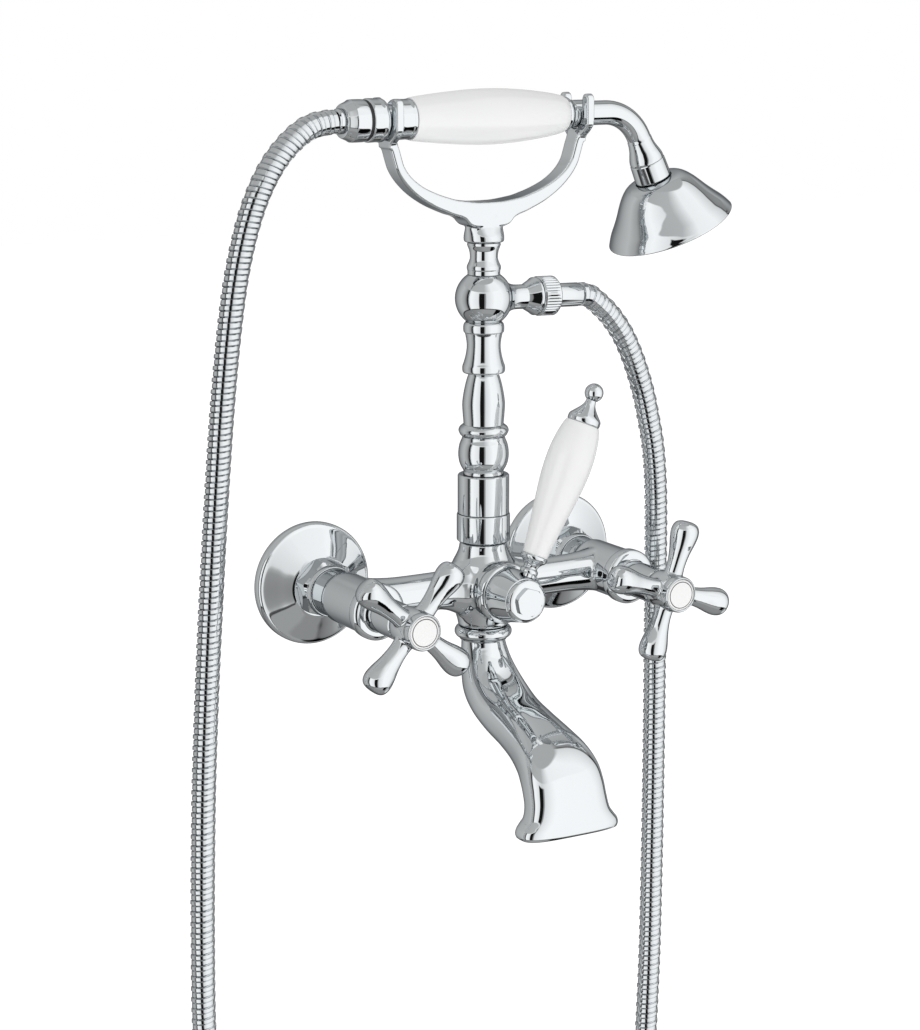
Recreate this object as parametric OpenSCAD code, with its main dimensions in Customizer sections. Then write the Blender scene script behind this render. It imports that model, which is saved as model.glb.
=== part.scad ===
// Wall-mounted bath mixer with a cradle hand shower.
// Origin: on the wall, midway between the two wall studs. +X right, -Y out of the wall, +Z up.

/* [Layout] */
// Distance between the two water inlets
centres = 150; // [146:0.5:156]
// How far the wall studs sit above the inlets, the throw of the eccentric unions
union_throw = 8; // [2:0.5:9]
// Wall to the axis of the riser
reach = 51.2; // [50:0.1:54]
// Height of the outlet ball above the inlets
tee_z = 149; // [146:0.5:160]
// Height of the hand shower's axis above the inlets
handset_z = 240; // [238:0.5:250]

/* [Wall unions and plates] */
// Radius of the stud that screws into the wall
stud_r = 10.48; // [10:0.02:11]
// Length of the stud behind the wall face
stud_l = 15; // [10:0.5:20]
// Water way in the stud
stud_bore_r = 6.5; // [5:0.1:7.5]
// Radius of the union's tap end, at the root of its thread
union_r = 12; // [11.6:0.05:12.2]
// Radius of the union's middle disc
union_disc_r = 17.2; // [17.2:0.1:19]
// Thickness of the union's middle disc
union_disc_t = 5; // [4:0.1:6]
// Length of the union from the wall to its tap end
union_l = 19.5; // [18:0.1:21]
// Largest radius of the wall plate
rosette_r = 32.2; // [31:0.1:36]
// Depth of the whole wall plate
rosette_d = 14; // [12:0.1:14.5]
// Wall thickness of the plate
rosette_t = 1.3; // [1:0.1:1.6]
// Size of the coupling nut across its flats
nut_af = 27; // [26.4:0.1:30]
// Length of the coupling nut's hexagon
nut_hex_l = 9.6; // [8:0.1:10]
// Length of the round collar on the coupling nut
nut_collar_l = 3.2; // [3:0.1:4]
// Turn of the hexagon about its axis, in degrees
nut_turn = 13; // [0:1:60]

/* [Body] */
// Outer radius of the valve towers
tower_r = 13.3; // [12.9:0.1:14]
// How far the towers reach behind the cross bar's axis
tower_behind = 12.2; // [11.4:0.1:13]
// How far the towers reach in front of the cross bar's axis
tower_ahead = 19.8; // [19:0.1:22]
// Radius of the inlet tails between nut and tower
tail_r = 12.3; // [11.8:0.1:12.7]
// Radius of the cross bar
bar_r = 9.8; // [9:0.1:10.5]
// Radius of the bulge where the riser, bar and spout boss meet
belly_r = 16.5; // [16:0.1:17.5]
// Radius of the riser neck on the body
riser_neck_r = 12.4; // [11.8:0.1:13]
// Height of the riser neck's top above the inlets
riser_neck_z = 23; // [22:0.1:24]
// Depth of the spout boss's lower face below the inlets
boss_z = 21.2; // [20:0.1:22]
// Radius of the spout boss
boss_r = 13.2; // [12.6:0.1:14]
// Outer radius of the diverter boss
diverter_boss_r = 14.6; // [14.2:0.1:15.2]
// Radius of the water ways in the body
way_r = 5; // [4:0.1:5.5]
// Radius of the cavity for a headwork
headwork_r = 9.6; // [9:0.1:10]
// Radius of the cavity for the diverter cartridge
cartridge_r = 11; // [10.5:0.1:11.5]

/* [Bonnets and handles] */
// Outer radius of a bonnet's ring
bonnet_r = 14.4; // [14:0.1:15]
// Thickness of a bonnet's ring
bonnet_ring_t = 6.6; // [6:0.1:7.5]
// Radius of the bonnet's neck
bonnet_neck_r = 9.2; // [8.8:0.1:9.6]
// Length of a bonnet's ring and neck
bonnet_l = 30.85; // [29:0.05:31.5]
// Radius of the valve and diverter spindles
spindle_r = 4; // [3.6:0.1:4.4]
// Distance from the bonnet's end to the middle of the handle's arms
arm_out = 9.3; // [8.6:0.1:10]
// Distance from a handle's axis to the tip of an arm
arm_tip = 36; // [34:0.1:40]
// Largest radius of an arm, near its tip
arm_r = 6.2; // [5.5:0.1:6.6]
// Turn of the hot handle's arms from 45 degrees
hot_turn = 4.6; // [-45:0.2:45]
// Turn of the cold handle's arms from 45 degrees
cold_turn = 27.4; // [-45:0.2:45]
// Radius of the handle's hub
hub_r = 9.8; // [9.6:0.1:11]
// Distance from the bonnet's end to the face of the index ring
handle_l = 20.6; // [20:0.1:21.6]
// Radius of the index ring
index_ring_r = 8.8; // [8.4:0.1:9.4]
// Radius of the index disc
index_r = 6.7; // [6:0.1:7.2]

/* [Diverter] */
// Largest radius of the ring on the body
diverter_ring_r = 15.9; // [15.6:0.1:16.6]
// Thickness of that ring
diverter_ring_t = 6; // [5:0.1:6.5]
// Radius of the drum where it meets the ring
drum_r = 13.8; // [13.2:0.1:14.2]
// Radius of the drum at its front
drum_front_r = 11.3; // [10.8:0.1:11.8]
// Length of the drum
drum_l = 15.8; // [15:0.1:18]
// Radius of the diverter's cap
cap_r = 11.1; // [10.5:0.1:11.6]
// Size of the cap's raised hexagon across its flats
cap_hex_af = 13.3; // [12:0.1:15]
// Distance from the ring on the body to the lever's axis
lever_out = 10.4; // [10:0.1:11.4]
// Lean of the lever to the right of upright, in degrees
lever_lean = 23.4; // [10:0.2:30]
// Radius of the lever's rod
lever_rod_r = 2.5; // [2:0.1:3]
// Distance along the lever to the foot of its ferrule
ferrule_z = 13.4; // [13:0.1:15]
// Distance along the lever to the foot of its grip
grip_z = 23.4; // [22:0.1:26]
// Length of the lever's porcelain grip
lever_grip_l = 71; // [65:0.5:80]
// Largest radius of the lever's porcelain grip
lever_grip_r = 12; // [11:0.1:13]
// Radius of the ball on the finial
finial_r = 4.8; // [4:0.1:5.5]

/* [Riser] */
// Radius of the riser collar
collar_r = 13.8; // [13.4:0.1:14.6]
// Height of the riser collar
collar_h = 14.4; // [13:0.1:16]
// Radius of the riser sleeve
sleeve_r = 13.3; // [12.8:0.1:14]
// Height of the riser sleeve
sleeve_h = 20.4; // [18:0.1:22]
// Radius of the lower bulb of the turned column
bulb_r = 13; // [12:0.1:14]
// Radius of the bead above the bulb
bead_r = 12.9; // [12:0.1:14]
// Largest radius of the baluster
baluster_r = 10.95; // [10.4:0.05:12]
// Largest radius of the waisted part
waist_r = 10.95; // [10.6:0.05:12]
// Water way up the riser
riser_way_r = 5.5; // [4.5:0.1:6]
// Radius of the outlet ball
ball_r = 14.7; // [14:0.1:16]
// Radius of the cradle neck at its thinnest
neck_r = 7.15; // [6.8:0.05:7.6]

/* [Hose outlet and hose] */
// Radius of the outlet stub
stub_r = 6.3; // [6:0.1:7]
// Radius of the outlet's conical flange
flange_r = 9.8; // [9:0.1:10.4]
// Distance from the riser axis to the outlet's face
outlet_x = 31; // [30:0.1:34]
// Droop of the outlet, in degrees below level
outlet_droop = 1.6; // [0:0.1:4]
// Outer radius of the knurled hose nut
hose_nut_r = 10.2; // [10:0.1:11.5]
// Length of the knurled hose nut
hose_nut_l = 10.2; // [10:0.1:13]
// Outer radius of the hose's ferrules
ferrule_r = 6.5; // [6.4:0.1:7.4]
// Diameter of the shower hose
hose_d = 12.4; // [12:0.1:13]
// Bore of the shower hose
hose_bore = 7.6; // [7:0.1:8.4]

/* [Spout] */
// Radius of the spout ring's bead
spout_ring_r = 14.9; // [14.4:0.1:15.6]
// Radius of the spout where it leaves the ring
spout_top_r = 11.3; // [11:0.1:12]
// Distance from the riser axis to the middle of the mouth
spout_out = 82; // [76:0.5:90]
// Drop from the inlets to the mouth
spout_drop = 109.2; // [106:0.1:120]
// Width of the mouth, outside
mouth_w = 56; // [50:0.5:60]
// Wall of the spout
spout_wall = 2; // [1.6:0.1:2.6]

/* [Cradle] */
// Width of the cradle's strap, front to back
strap_w = 12; // [11:0.1:13]
// Thickness of the cradle's strap
strap_t = 4.8; // [4.2:0.1:5.4]
// Distance from the riser axis to each saddle
saddle_x = 55; // [54.6:0.1:57]
// Thickness of a saddle
saddle_t = 4.1; // [3.6:0.1:4.3]
// Width over a saddle's two tines
tine_span = 27; // [25:0.1:29]
// Height of the tines above the hand shower's axis
tine_rise = 10.5; // [9:0.1:12]
// Height of the underside of the strap above the inlets
strap_z = 190; // [189:0.5:196]

/* [Hand shower] */
// Radius of the tail that lies in the left saddle
tail_tube_r = 7.2; // [6.8:0.1:7.6]
// Radius of the bent neck
handset_neck_r = 6.2; // [5.8:0.1:6.6]
// Bend of the neck along its middle
neck_bend_r = 23.5; // [20:0.5:28]
// Turn of the neck, in degrees from level
neck_angle = 66; // [60:3:78]
// Largest radius of the porcelain grip
grip_r = 13.9; // [13:0.1:15]
// Length of the porcelain grip
grip_l = 89; // [87.5:0.1:90]
// Radius of the rose
rose_r = 33.9; // [30:0.5:38]
// Height of the rose
rose_h = 27.8; // [25:0.1:31]
// Wall of the rose
rose_t = 1.5; // [1.2:0.1:2]
// Radius of a spray hole
spray_r = 0.6; // [0.4:0.05:0.8]

/* [Hidden] */

$fn = 48;
chrome = [0.82, 0.84, 0.85];
porcelain = [0.96, 0.96, 0.95];
brass = [0.78, 0.65, 0.36];
rubber = [0.12, 0.12, 0.12];
fibre = [0.45, 0.30, 0.22];
white_plastic = [0.93, 0.93, 0.92];

left = -1;
right = 1;
// One overrun serves every cut
overrun = 1;
// Running clearance of a shaft or spigot in its bore
running = 0.05;
// Gap between faces that only meet
seam = 0.15;
// Gap round a soft or a resting piece
rest_gap = 0.3;
// Smallest step of a turned edge
edge = 0.6;

// A point of a smooth curve through four points, t from 0 to 1
function blend4(a, b, c, d, t) =
    ((2 * b) + (c - a) * t + (2 * a - 5 * b + 4 * c - d) * t * t
    + (3 * b - a - 3 * c + d) * t * t * t) / 2;

// A smooth curve through the points, with n steps between neighbours
function smooth(p, n) = concat(
    [for (i = [0 : len(p) - 2]) for (k = [0 : n - 1])
        blend4(p[max(i - 1, 0)], p[i], p[i + 1], p[min(i + 2, len(p) - 1)], k / n)],
    [p[len(p) - 1]]);

// Shares [radius, height] turned into an outline of that radius and height, from height z
function outline(shares, r, h, z) = [for (s = shares) [s[0] * r, z + s[1] * h]];

// A turned solid from its outline [radius, height], hollow to the bore
module turned(points, bore = 0) {
    rotate_extrude()
        polygon(concat(points, [[bore, points[len(points) - 1][1]], [bore, points[0][1]]]));
}

// A plain ring
module ring(r, bore, h) {
    difference() {
        cylinder(r = r, h = h);
        translate([0, 0, -overrun]) cylinder(r = bore, h = h + 2 * overrun);
    }
}

// A hexagonal prism, by its size across the flats
module hexagon(af, h) cylinder(d = af / cos(30), h = h, $fn = 6);

// Everything above the wall studs' level is drawn from the inlets' level
module at_inlets() translate([0, 0, -union_throw]) children();
// Heights become distances out of the wall
module out_of_wall() rotate([90, 0, 0]) children();
// Heights become distances to the right
module to_right() rotate([0, 90, 0]) children();
module at_inlet(side) at_inlets() translate([side * centres / 2, 0, 0]) out_of_wall() children();
module at_centre() at_inlets() out_of_wall() children();
module at_riser() at_inlets() translate([0, -reach, 0]) children();
// Along the hose outlet, from the riser's axis
module at_outlet() at_riser() translate([0, 0, tee_z]) rotate([0, 90 + outlet_droop, 0]) children();
module at_handset() at_riser() translate([0, 0, handset_z]) to_right() children();

// Wall unions, plates and coupling nuts

tower_back = reach - tower_behind;
tower_front = reach + tower_ahead;
bonnet_end = tower_front + seam + bonnet_l;
arm_y = bonnet_end + arm_out;
handle_face = bonnet_end + handle_l;
diverter_boss_l = 19;
drum_back = reach + diverter_boss_l + diverter_ring_t;
drum_front = drum_back + drum_l;
lever_y = drum_back + lever_out;
union_bore_r = 8;
washer_t = 2;
tail_face = union_l + washer_t;
tail_flange_r = 11.7;
tail_neck_r = 10.2;
nut_lip_t = nut_collar_l - edge;
nut_l = nut_hex_l + nut_collar_l;
nut_back = rosette_d + seam;
nut_front = nut_back + nut_l;
// The tail's flange fills the room behind the nut's lip
tail_flange_t = nut_front - nut_lip_t - tail_face - running;
nut_thread_r = union_r + running;

module wall_union(side) {
    color(brass) difference() {
        union() {
            translate([side * centres / 2, stud_l, 0]) out_of_wall() cylinder(r = stud_r, h = stud_l);
            translate([side * centres / 2, 0, -union_throw / 2]) out_of_wall()
                cylinder(r = union_disc_r, h = union_disc_t);
            at_inlet(side) cylinder(r = union_r, h = union_l);
        }
        translate([side * centres / 2, stud_l + overrun, 0]) out_of_wall()
            cylinder(r = stud_bore_r, h = stud_l + union_disc_t - edge + overrun);
        at_inlet(side) translate([0, 0, edge]) cylinder(r = union_bore_r, h = union_l);
    }
}

// Shares of the plate's radius and depth: the rim, then the shallow bell up to the nut
rosette_shares = [[0.985, 0], [1, 0.10], [1, 0.36], [0.985, 0.46], [0.955, 0.52], [0.93, 0.535],
    [0.80, 0.635], [0.68, 0.745], [0.58, 0.855], [0.5, 0.965]];
rosette_front_r = 15.4;

module rosette(side) {
    outer = outline(rosette_shares, rosette_r, rosette_d, 0);
    inner = [for (p = outer) [p[0] - rosette_t, max(p[1] - rosette_t, 0)]];
    hole = union_r + rest_gap;
    color(chrome) at_inlet(side) rotate_extrude() polygon(concat(
        [for (i = [0 : len(outer) - 1]) outer[i]],
        [[rosette_front_r, rosette_d], [hole, rosette_d], [hole, rosette_d - rosette_t]],
        [for (i = [len(inner) - 1 : -1 : 0]) inner[i]]));
}

module coupling_nut(side) {
    color(chrome) at_inlet(side) translate([0, 0, nut_back]) difference() {
        intersection() {
            rotate([0, 0, -side * nut_turn]) union() {
                hexagon(nut_af, nut_hex_l);
                cylinder(r = nut_af / 2 - edge / 2, h = nut_l);
            }
            turned([[nut_af / 2 + edge, 0], [nut_af / 2 / cos(30), edge],
                [nut_af / 2 / cos(30), nut_hex_l - 2 * edge], [nut_af / 2, nut_hex_l],
                [nut_af / 2 - edge / 2, nut_l - edge], [nut_af / 2 - edge, nut_l]]);
        }
        translate([0, 0, -overrun]) cylinder(r = nut_thread_r, h = nut_l - nut_lip_t + overrun);
        cylinder(r = tail_neck_r + rest_gap, h = nut_l + overrun);
    }
}

module inlet_washers() {
    color(fibre) for (side = [left, right])
        at_inlet(side) translate([0, 0, union_l]) ring(tail_flange_r, union_bore_r, washer_t);
}

// The cast body

bore_behind = 5.2;
tower_bore_back = reach - bore_behind;
tail_bore_r = 7.5;
cartridge_behind = 10.2;
cartridge_back = reach - cartridge_behind;
spigot_r = 9;
spout_spigot_r = 9.4;
// Shares of the belly's radius and of the heights above and below the inlets
riser_boss_shares = [[1.02, 0.12], [1.02, 0.3], [1, 0.46], [0.945, 0.58], [0.86, 0.69], [0.79, 0.81], [0.757, 0.91],
    [0.752, 1]];
spout_boss_shares = [[1, 0.12], [0.985, 0.35], [0.92, 0.6], [0.84, 0.8], [0.8, 0.92]];
// Shares of the flare where the cross bar swells into the belly and into the towers
bar_flare_shares = [[1.5, 0], [1.48, 0.15], [1.41, 0.205], [1.25, 0.25], [1.11, 0.295], [1.02, 0.35], [1, 0.42],
    [1, 0.64], [1.03, 0.74], [1.1, 0.84], [1.2, 0.92]];

module body_bar(side) {
    bar_l = centres / 2;
    at_riser() rotate([0, side * 90, 0])
        turned(smooth(outline(bar_flare_shares, bar_r, bar_l, 0), 3));
}

module mixer_body() {
    color(chrome) difference() {
        union() {
            for (side = [left, right]) {
                at_inlet(side) {
                    translate([0, 0, tower_back]) cylinder(r = tower_r, h = tower_front - tower_back);
                    translate([0, 0, nut_front + seam])
                        turned([[tail_r - edge, 0], [tail_r, edge],
                            [tail_r, tower_back - nut_front]]);
                    translate([0, 0, tail_face]) cylinder(r = tail_neck_r, h = tower_back - tail_face);
                    translate([0, 0, tail_face]) cylinder(r = tail_flange_r, h = tail_flange_t);
                }
                body_bar(side);
            }
            at_riser() {
                turned(concat(smooth(outline(riser_boss_shares, belly_r, riser_neck_z, 0), 3),
                    [[riser_neck_r - edge, riser_neck_z + edge / 2]]));
                mirror([0, 0, 1]) turned(concat(smooth(outline(spout_boss_shares, belly_r, boss_z, 0), 3),
                    [[boss_r, boss_z]]));
            }
            at_centre() translate([0, 0, reach])
                cylinder(r = diverter_boss_r, h = drum_back - diverter_ring_t - seam - reach);
        }
        for (side = [left, right]) at_inlet(side) {
            translate([0, 0, tail_face - overrun])
                cylinder(r = tail_bore_r, h = tower_back - tail_face + overrun);
            translate([0, 0, tower_back - overrun]) cylinder(r = tail_bore_r, h = reach - tower_back);
            translate([0, 0, tower_bore_back]) cylinder(r = headwork_r + running, h = tower_front);
        }
        at_riser() {
            translate([-centres / 2, 0, 0]) to_right() cylinder(r = way_r, h = centres);
            cylinder(r = riser_way_r, h = riser_neck_z + overrun);
            translate([0, 0, riser_neck_z - spigot_h]) cylinder(r = spigot_r + running, h = spigot_h + overrun);
            translate([0, 0, -boss_z - overrun]) cylinder(r = riser_way_r, h = boss_z + overrun);
            translate([0, 0, -boss_z - overrun])
                cylinder(r = spout_spigot_r + running, h = spout_spigot_h + overrun);
        }
        at_centre() translate([0, 0, cartridge_back]) cylinder(r = cartridge_r + running, h = tower_front);
    }
}

// Headworks, bonnets and handles

headwork_hex_af = 19;
headwork_hex_t = 4.4;
gland_r = 6.2;
gland_l = 25;
gland_end = tower_front + gland_l;
spindle_start = 6.8;
spindle_back = reach + spindle_start;
spindle_out = 12;
spindle_end = bonnet_end + spindle_out;

module headwork(side) {
    color(brass) at_inlet(side) difference() {
        union() {
            translate([0, 0, tower_bore_back + edge])
                cylinder(r = headwork_r, h = tower_front - tower_bore_back - edge + seam);
            translate([0, 0, tower_front + seam]) hexagon(headwork_hex_af, headwork_hex_t);
            translate([0, 0, tower_front]) cylinder(r = gland_r, h = gland_end - tower_front);
        }
        translate([0, 0, spindle_back]) cylinder(r = spindle_r + running, h = gland_end);
        // Ports in the side of the cartridge, in line with the cross bar
        translate([-headwork_r - overrun, 0, 0]) translate([0, 0, reach]) to_right()
            cylinder(r = way_r - edge, h = headwork_r + overrun);
        translate([0, 0, tower_bore_back]) cylinder(r = way_r - edge, h = reach - tower_bore_back + way_r / 2);
        translate([0, 0, reach]) to_right() cylinder(r = way_r - edge, h = headwork_r + overrun);
    }
}

// Shares of the bonnet ring's radius and thickness
bonnet_ring_shares = [[0.97, 0], [1, 0.06], [1, 0.62], [0.975, 0.78], [0.91, 0.9], [0.82, 0.97], [0.68, 1]];
bonnet_cavity_r = 11.4;

module bonnet(side) {
    ring_back = tower_front + seam;
    step = ring_back + bonnet_ring_t;
    color(chrome) at_inlet(side) difference() {
        turned(concat(outline(bonnet_ring_shares, bonnet_r, bonnet_ring_t, ring_back),
            [[bonnet_neck_r + edge, step + edge], [bonnet_neck_r, step + 2 * edge],
             [bonnet_neck_r, bonnet_end - edge], [bonnet_neck_r - edge, bonnet_end]]));
        translate([0, 0, ring_back - overrun]) cylinder(r = bonnet_cavity_r, h = headwork_hex_t + edge + overrun);
        translate([0, 0, ring_back]) cylinder(r = gland_r + rest_gap, h = bonnet_end);
    }
}

module spindle(side) {
    color(brass) at_inlet(side) {
        translate([0, 0, spindle_back + edge]) cylinder(r = spindle_r, h = spindle_end - spindle_back - edge);
    }
}

// Shares of the hub's radius, and of the length from its back to its front
hub_shares = [[0.86, 0], [0.93, 0.06], [1, 0.2], [1, 0.55], [0.95, 0.85], [0.88, 1]];
// Shares of an arm's largest radius and of its reach
arm_shares = [[0.78, 0.1], [0.72, 0.3], [0.74, 0.45], [0.84, 0.6], [0.96, 0.74], [1, 0.83],
    [0.93, 0.91], [0.74, 0.96], [0.42, 0.99], [0, 1]];
index_ring_t = 4.6;
hub_back = bonnet_end + rest_gap;
hub_front = handle_face - index_ring_t;
screw_r = 2;
screw_head_r = 3.6;
screw_head_t = 2.4;
screw_l = 12;
screw_seat = spindle_end + edge;

module handle(side, turn) {
    color(chrome) at_inlet(side) difference() {
        union() {
            turned(smooth(outline(hub_shares, hub_r, hub_front - hub_back, hub_back), 3));
            for (k = [0 : 3]) translate([0, 0, arm_y]) rotate([0, 0, 45 + turn + 90 * k]) to_right()
                turned(smooth(outline(arm_shares, arm_r, arm_tip, 0), 3));
        }
        translate([0, 0, hub_back - overrun]) cylinder(r = spindle_r + running, h = spindle_end - hub_back + overrun);
        cylinder(r = screw_r + running, h = handle_face);
        translate([0, 0, screw_seat]) cylinder(r = screw_head_r + rest_gap, h = handle_face);
    }
}

module handle_screw(side) {
    color(brass) at_inlet(side) difference() {
        union() {
            translate([0, 0, spindle_end + seam]) cylinder(r = screw_r, h = screw_seat - spindle_end);
            translate([0, 0, screw_seat + running]) cylinder(r = screw_head_r, h = screw_head_t);
        }
        translate([0, 0, screw_seat + screw_head_t - edge])
            translate([-screw_head_r, -edge / 2, 0]) cube([2 * screw_head_r, edge, edge + overrun]);
    }
}

// Shares of the index ring's radius and thickness
index_ring_shares = [[0.97, 0], [1, 0.1], [1, 0.55], [0.97, 0.8], [0.9, 0.96], [0.83, 1], [0.775, 0.93]];
index_seat = 1.8;

module index_ring(side) {
    color(chrome) at_inlet(side) difference() {
        turned(outline(index_ring_shares, index_ring_r, index_ring_t - seam, hub_front + seam));
        translate([0, 0, hub_front]) cylinder(r = screw_head_r + 2 * rest_gap, h = index_ring_t + overrun);
        translate([0, 0, handle_face - index_seat]) cylinder(r = index_r + running, h = index_seat + overrun);
    }
}

// Shares of the index disc's radius and thickness: a low dome
index_shares = [[1, 0], [1, 0.62], [0.93, 0.78], [0.7, 0.9], [0.36, 0.98], [0, 1]];

module index_disc(side) {
    color(white_plastic) at_inlet(side)
        turned(outline(index_shares, index_r, index_seat, handle_face - index_seat));
}

// The diverter and its lever

cap_t = 3.7;
cap_hex_t = 1.8;
cap_stud_l = 5;
ferrule_top_r = 7;

module diverter_cartridge() {
    color(brass) at_centre() difference() {
        translate([0, 0, cartridge_back + edge])
            cylinder(r = cartridge_r, h = drum_back - diverter_ring_t - cartridge_back - 2 * edge);
        translate([0, 0, spindle_back]) cylinder(r = spindle_r + running, h = drum_back);
        translate([0, cartridge_r + overrun, reach]) rotate([90, 0, 0])
            cylinder(r = way_r, h = 2 * cartridge_r + 2 * overrun);
        translate([-cartridge_r - overrun, 0, reach]) to_right()
            cylinder(r = way_r - edge, h = 2 * cartridge_r + 2 * overrun);
    }
}

// Shares of the diverter ring's radius and thickness
diverter_ring_shares = [[0.95, 0], [0.985, 0.15], [1, 0.4], [0.99, 0.7], [0.95, 0.9], [0.89, 1]];

module diverter_ring() {
    color(chrome) at_centre()
        turned(smooth(outline(diverter_ring_shares, diverter_ring_r, diverter_ring_t - seam,
            drum_back - diverter_ring_t), 2), spindle_r + rest_gap);
}

module diverter_spindle() {
    color(brass) at_centre() difference() {
        translate([0, 0, spindle_back + edge]) cylinder(r = spindle_r, h = drum_front - spindle_back - 2 * edge);
        translate([0, 0, drum_front - cap_stud_l - edge]) cylinder(r = screw_r + running, h = drum_front);
    }
}

// Turns what is drawn upright to lean with the lever, about the diverter's axis
module on_lever() at_inlets() translate([0, -lever_y, 0]) rotate([0, lever_lean, 0]) children();

// Shares of the drum's back radius, and of its length
drum_shares = [[1, 0], [1, 0.12], [0.98, 0.3], [0.93, 0.55], [0.87, 0.8], [0.82, 1]];

module diverter_drum() {
    color(chrome) difference() {
        at_centre() turned(concat(
            smooth(outline(drum_shares, drum_r, drum_front - drum_back - edge, drum_back + seam), 2),
            [[drum_front_r - edge, drum_front - seam]]), spindle_r + running);
        on_lever() translate([0, 0, spindle_r + edge]) cylinder(r = lever_rod_r + running, h = drum_r + overrun);
    }
}

// Shares of the cap's radius and thickness
cap_shares = [[0.97, 0], [1, 0.12], [1, 0.5], [0.97, 0.75], [0.86, 0.93], [0.72, 1]];

module diverter_cap() {
    color(chrome) at_centre() {
        turned(outline(cap_shares, cap_r, cap_t, drum_front));
        translate([0, 0, drum_front + cap_t - edge]) hexagon(cap_hex_af, cap_hex_t + edge);
        translate([0, 0, drum_front - cap_stud_l]) cylinder(r = screw_r, h = cap_stud_l + edge);
    }
}

rod_foot = spindle_r + 2 * edge;
finial_z = grip_z + lever_grip_l;
finial_depth = 6;

module lever_rod() {
    color(chrome) on_lever() translate([0, 0, rod_foot])
        cylinder(r = lever_rod_r, h = finial_z + finial_depth - rod_foot);
}

// Shares of the ferrule's top radius and length
ferrule_shares = [[0.6, 0], [0.66, 0.06], [0.66, 0.2], [0.52, 0.32], [0.56, 0.45], [0.7, 0.6],
    [0.9, 0.72], [1, 0.84], [1, 0.97], [0.95, 1]];

module lever_ferrule() {
    color(chrome) on_lever()
        turned(outline(ferrule_shares, ferrule_top_r, grip_z - ferrule_z - seam, ferrule_z),
            lever_rod_r + running);
}

// Shares of the lever grip's radius and length
lever_grip_shares = [[0.53, 0], [0.56, 0.02], [0.61, 0.1], [0.72, 0.25], [0.86, 0.42], [0.96, 0.56],
    [1, 0.68], [0.985, 0.79], [0.9, 0.9], [0.8, 0.97], [0.74, 1]];

module lever_grip() {
    color(porcelain) on_lever()
        turned(smooth(outline(lever_grip_shares, lever_grip_r, lever_grip_l - seam, grip_z), 3),
            lever_rod_r + running);
}

// Shares of the finial cap's radius, and of its height up to the ball's neck
finial_shares = [[0.96, 0], [1, 0.06], [1, 0.22], [0.93, 0.32], [0.72, 0.48], [0.5, 0.66], [0.36, 0.82],
    [0.3, 1]];
finial_cap_r = 8.5;
finial_cap_h = 12.4;

module lever_finial() {
    color(chrome) on_lever() difference() {
        union() {
            translate([0, 0, finial_z])
                turned(smooth(outline(finial_shares, finial_cap_r, finial_cap_h, 0), 2));
            translate([0, 0, finial_z + finial_cap_h + finial_r - edge]) sphere(r = finial_r);
        }
        translate([0, 0, finial_z - overrun]) cylinder(r = lever_rod_r + running, h = finial_depth + overrun + seam);
    }
}

// The riser

collar_z = riser_neck_z + rest_gap + edge / 2;
sleeve_z = collar_z + collar_h + seam;
column_z = sleeve_z + sleeve_h + seam;
spigot_h = 9;
o_ring_r = 1;
spout_spigot_h = 10;
column_top = tee_z - ball_r * 0.8;

module riser_collar() {
    color(chrome) at_riser() difference() {
        union() {
            translate([0, 0, collar_z]) turned([[collar_r - edge, 0], [collar_r, edge],
                [collar_r, collar_h - edge], [collar_r - edge / 2, collar_h]]);
            translate([0, 0, riser_neck_z - spigot_h + edge]) cylinder(r = spigot_r, h = spigot_h);
        }
        translate([0, 0, riser_neck_z - spigot_h]) cylinder(r = riser_way_r, h = spigot_h + collar_h + overrun);
        for (k = [1, 2]) translate([0, 0, riser_neck_z - k * spigot_h / 3])
            rotate_extrude() translate([spigot_r, 0]) circle(r = o_ring_r, $fn = 24);
    }
}

// O-rings in the grooves of a spigot
module o_rings(r) {
    difference() {
        rotate_extrude() translate([r, 0]) circle(r = o_ring_r - running, $fn = 24);
        difference() {
            translate([0, 0, -overrun]) cylinder(r = r + 2 * o_ring_r, h = 2 * overrun);
            translate([0, 0, -2 * overrun]) cylinder(r = r + running / 2, h = 4 * overrun);
        }
    }
}

module riser_o_rings() {
    color(rubber) at_riser() for (k = [1, 2])
        translate([0, 0, riser_neck_z - k * spigot_h / 3]) o_rings(spigot_r);
}

module riser_sleeve() {
    color(chrome) at_riser() translate([0, 0, sleeve_z])
        turned([[sleeve_r - edge / 2, 0], [sleeve_r, edge / 2], [sleeve_r, sleeve_h - edge],
            [sleeve_r - edge, sleeve_h]], riser_way_r);
}

// Shares of each turned form's radius and height
bulb_shares = [[0.80, 0], [0.80, 0.09], [0.89, 0.2], [0.955, 0.31], [0.99, 0.43], [1, 0.54], [0.985, 0.68],
    [0.94, 0.82], [0.87, 0.93], [0.835, 1]];
bead_shares = [[0.84, 0], [0.93, 0.17], [0.995, 0.45], [0.985, 0.65], [0.93, 0.83], [0.82, 1]];
baluster_shares = [[0.94, 0], [0.95, 0.07], [0.975, 0.19], [1, 0.35], [0.99, 0.46], [0.95, 0.58],
    [0.905, 0.68], [0.84, 0.8], [0.77, 0.9], [0.71, 0.97], [0.70, 1]];
waist_shares = [[0.94, 0], [0.99, 0.03], [1, 0.09], [0.99, 0.14], [0.925, 0.22], [0.86, 0.32], [0.815, 0.42],
    [0.79, 0.52], [0.8, 0.62], [0.84, 0.73], [0.885, 0.81]];
waist_top_shares = [[0.91, 0], [0.945, 0.12], [0.955, 0.5], [0.93, 0.8], [0.86, 1]];
bulb_h = 19.4;
bead_h = 6.4;
baluster_h = 26.6;
waist_h = 25.4;
waist_top_share = 0.81;

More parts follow.
